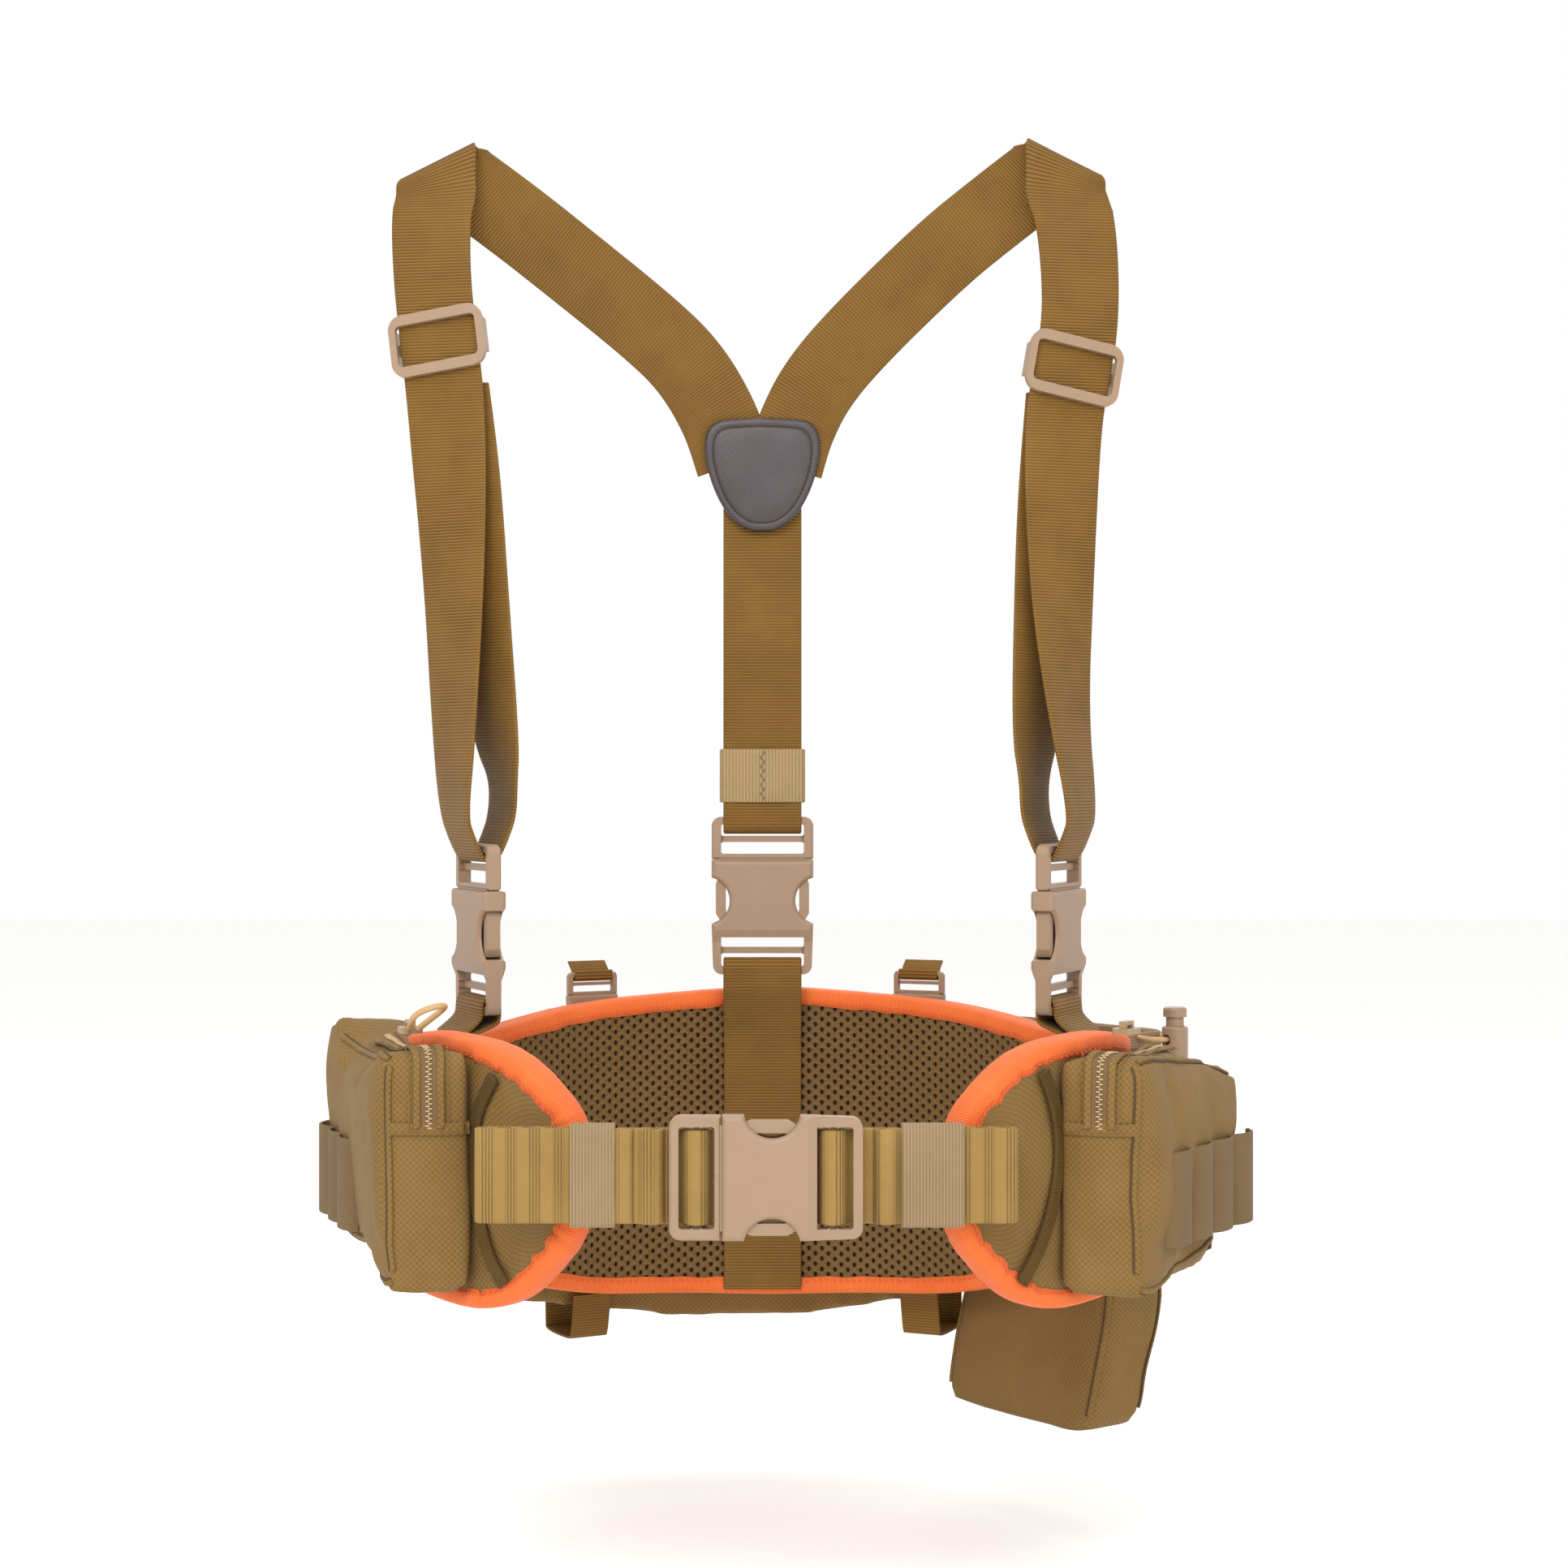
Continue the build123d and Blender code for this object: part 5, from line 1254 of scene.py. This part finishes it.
for where in ("left", "right"):
    small = rear_seats[where]
    scale = small.size
    node_box = [np.array(c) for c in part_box("rear_webbing")]
    top = (node_box[1][2] - small.origin[2]) / MM / scale - 2
    foot = (node_box[0][2] - small.origin[2]) / MM / scale + 2
    turn = math.degrees(math.asin(small.origin[0] / HALF_X))
    deep = (24.3 - 18.9 + np.interp(turn, REAR_ANGLES, REAR_BULGE) + 2.6) / scale
    hook = (belt_edge(np.array([arc_at(35)]), 1)[0] - 0.004 - small.origin[2]) / MM / scale
    route = [(top, -22 / scale), (top, -deep + 3), (top - 4, -deep), (foot + 5, -deep), (foot, -deep + 4),
             (foot, -5 / scale), (foot + 4, -3 / scale), (hook, 1 / scale)]
    strap = webbing(f"rear_webbing_{where}", small.stations(route), 20 * MM, 1.2 * MM, "belt", webbing_mat)
    if where == "left":
        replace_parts(strap, "rear_webbing")

# %% [markdown]
# ## Hanging pouch
# An open pouch with a stiff hem hangs behind the right hip. It is one grid from the bottom's middle, up the
# outside, over the rim and down the inside, so that the opening is real.

# %% Hanging pouch
AROUND = 96         # points in each ring of the pouch
HANG_TURN, HANG_WIDE, HANG_DEEP = math.radians(38), 104.0, 40.0
facing = np.array([math.cos(HANG_TURN), math.sin(HANG_TURN)])
sideways = np.array([-facing[1], facing[0]])
hang_centre = np.array([141.7, 100.5])
hang_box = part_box("hanging_pouch")
hang_low, hang_high = hang_box[0][2] / MM, hang_box[1][2] / MM
KINK, TUCK = -86.0, 16.0    # height below which the pouch tucks in towards the belt, and how far
turns = np.radians(np.linspace(0, 360, AROUND, endpoint=False))
round_x = np.sign(np.cos(turns)) * np.abs(np.cos(turns)) ** 0.22
round_y = np.sign(np.sin(turns)) * np.abs(np.sin(turns)) ** 0.35
levels_mm = [(hang_low + 1, 0.05, 0), (hang_low + 0.6, 0.4, 0), (hang_low + 0.8, 0.8, 0), (hang_low + 2.5, 0.93, 0),
             (hang_low + 7, 0.985, 0)]
levels_mm += [(z, 1.0, 0) for z in np.linspace(hang_low + 12, hang_high - 1, 42)]
levels_mm += [(hang_high, 1.0, 1.2), (hang_high - 1, 1.0, 2.6)]
levels_mm += [(z, 1.0, 3.0) for z in np.linspace(hang_high - 6, -110, 14)]
levels_mm += [(-112, 0.8, 3.0), (-112, 0.4, 3.0), (-112, 0.05, 3.0)]


def tucked(z):
    """How far the pouch is tucked in at a height, in millimetres."""
    return TUCK * np.clip((KINK - z) / (KINK - hang_low), 0, 1)


# Each level is a height, a share of the full ring and how far the ring is inside the outer face.
grid = []
for z, scale, inset in levels_mm:
    sag = 1 + 0.04 * math.sin(math.pi * np.clip((z - hang_low) / (hang_high - hang_low), 0, 1))
    x = round_x * (HANG_WIDE / 2 - inset - 1.2) * scale
    y = round_y * (HANG_DEEP / 2 - inset - 1.0) * scale * sag
    plan = hang_centre + sideways * x[:, None] + facing * (y - tucked(z))[:, None]
    grid.append(np.hstack([plan, np.full((AROUND, 1), z)]))
grid = np.array(grid)
quads = np.vstack([grid_quads(len(grid), AROUND, loop_cols=True), end_caps(len(grid), AROUND)])
hanging = make_object("hanging_pouch_bag", grid.reshape(-1, 3) * MM, quads, np.zeros((quads.size, 2)), canvas_mat,
                      "belt")
fx, sx = np.array([*facing, 0]), np.array([*sideways, 0])


def on_hang(s, f, z):
    """Point beside the hanging pouch from sideways and facing offsets and a height."""
    return (*(hang_centre + sideways * s + facing * f), z)


press(hanging, [(on_hang(-50, 16, -60), on_hang(-20, 18, -100), 1.5, 10),
                (on_hang(-52, 0, -90), on_hang(-52, 0, -130), 1.5, 9),
                (on_hang(-30, -20, -70), on_hang(10, -20, -110), 1.5, 14)], 0.8, 41)
box_uv(hanging, tuple(facing))
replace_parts(hanging, "hanging_pouch")
hang_tree = surface_of(hanging)
for number, (s, f) in enumerate(((-1, 1), (-1, -1), (1, 1), (1, -1))):
    line = np.array([on_hang(s * HANG_WIDE / 2, f * HANG_DEEP / 2 - tucked(z), z)
                     for z in np.linspace(hang_high - 6, hang_low + 9, 8)])
    piped_seam(f"hanging_seam_{number}", f"hanging_groove_{number}", hang_tree, line, unit(sx * s + fx * f), 2.8, 1.7)
hem_z = (hang_high + 0.3 + 4) * MM
hem_x = np.append(round_x, round_x[:2]) * (HANG_WIDE / 2 - 1.6)
hem_y = np.append(round_y, round_y[:2]) * (HANG_DEEP / 2 - 1.6)
hem_line = [np.concatenate([(hang_centre + sideways * x + facing * y) * MM, [hem_z], [0, 0, 1.0]])
            for x, y in zip(hem_x, hem_y)]
hem = webbing("hanging_hem_tunnel", hem_line, 7.8 * MM, 3.0 * MM, "belt", elastic_mat, 2.2 * MM, 0.12, 1)
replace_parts(hem, "hanging_hem")

# %% [markdown]
# ## Cords
# The left zip has a loop of cord as its pull, and the hanging pouch's hem is drawn by a loop through a
# spring lock. Each cord is one NURBS curve through its route, with a round bevel.


# %% Cords
def cord_piece(name, route, body, replaced):
    """Round cord along a route in millimetres: a NURBS spline of order 3 that starts and ends on its ends."""
    curve = bpy.data.curves.new(name, "CURVE")
    curve.dimensions = "3D"
    spline = curve.splines.new("NURBS")
    spline.points.add(len(route) - 1)
    for point, place in zip(spline.points, route):
        point.co = (*[c * MM for c in place], 1.0)
    spline.order_u = 3
    spline.use_endpoint_u = True
    curve.bevel_depth = 1.3 * MM
    curve.bevel_resolution = 4
    curve.resolution_u = 12
    curve.materials.append(cord_mat)
    thing = bpy.data.objects.new(name, curve)
    scene.collection.objects.link(thing)
    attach(thing, body)
    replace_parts(thing, replaced)


pull_route = [(-149.2, -80.1, 53.5), (-148.3, -86.8, 56.3), (-145.3, -92.6, 60.8), (-139.0, -95.7, 63.8),
              (-133.6, -92.9, 64.8), (-133.3, -85.9, 63.3), (-140.3, -80.9, 58.1), (-146.0, -79.0, 53.5)]
draw_route = [(172.6, 57.6, 37.8), (173.6, 50.6, 37.8), (177.4, 46.6, 37.8), (184.1, 46.2, 37.8),
              (192.0, 52.3, 37.8), (193.2, 58.9, 37.8), (190.2, 63.6, 37.8), (183.7, 66.2, 37.8)]
cord_piece("pull_cord_loop", pull_route, "zip_slider_left", "pull_cord_left")
cord_piece("drawcord_loop", draw_route, "belt", "drawcord")

# %% [markdown]
# ## Hardware
# Buckles, sliders and the cord lock are the imported model's own meshes, so they only need a material.

# %% Finish of the carried-over hardware
for name, thing in frame["nodes"].items():
    material = None
    if "buckle" in name or "prong" in name or "strap_slider" in name or name.startswith("cord_lock"):
        material = steel_mat if name == "cord_lock_spring" else acetal_mat
    elif name.startswith("zip_slider"):
        material = slider_mat
    if material:
        thing.data.materials.clear()
        thing.data.materials.append(material)
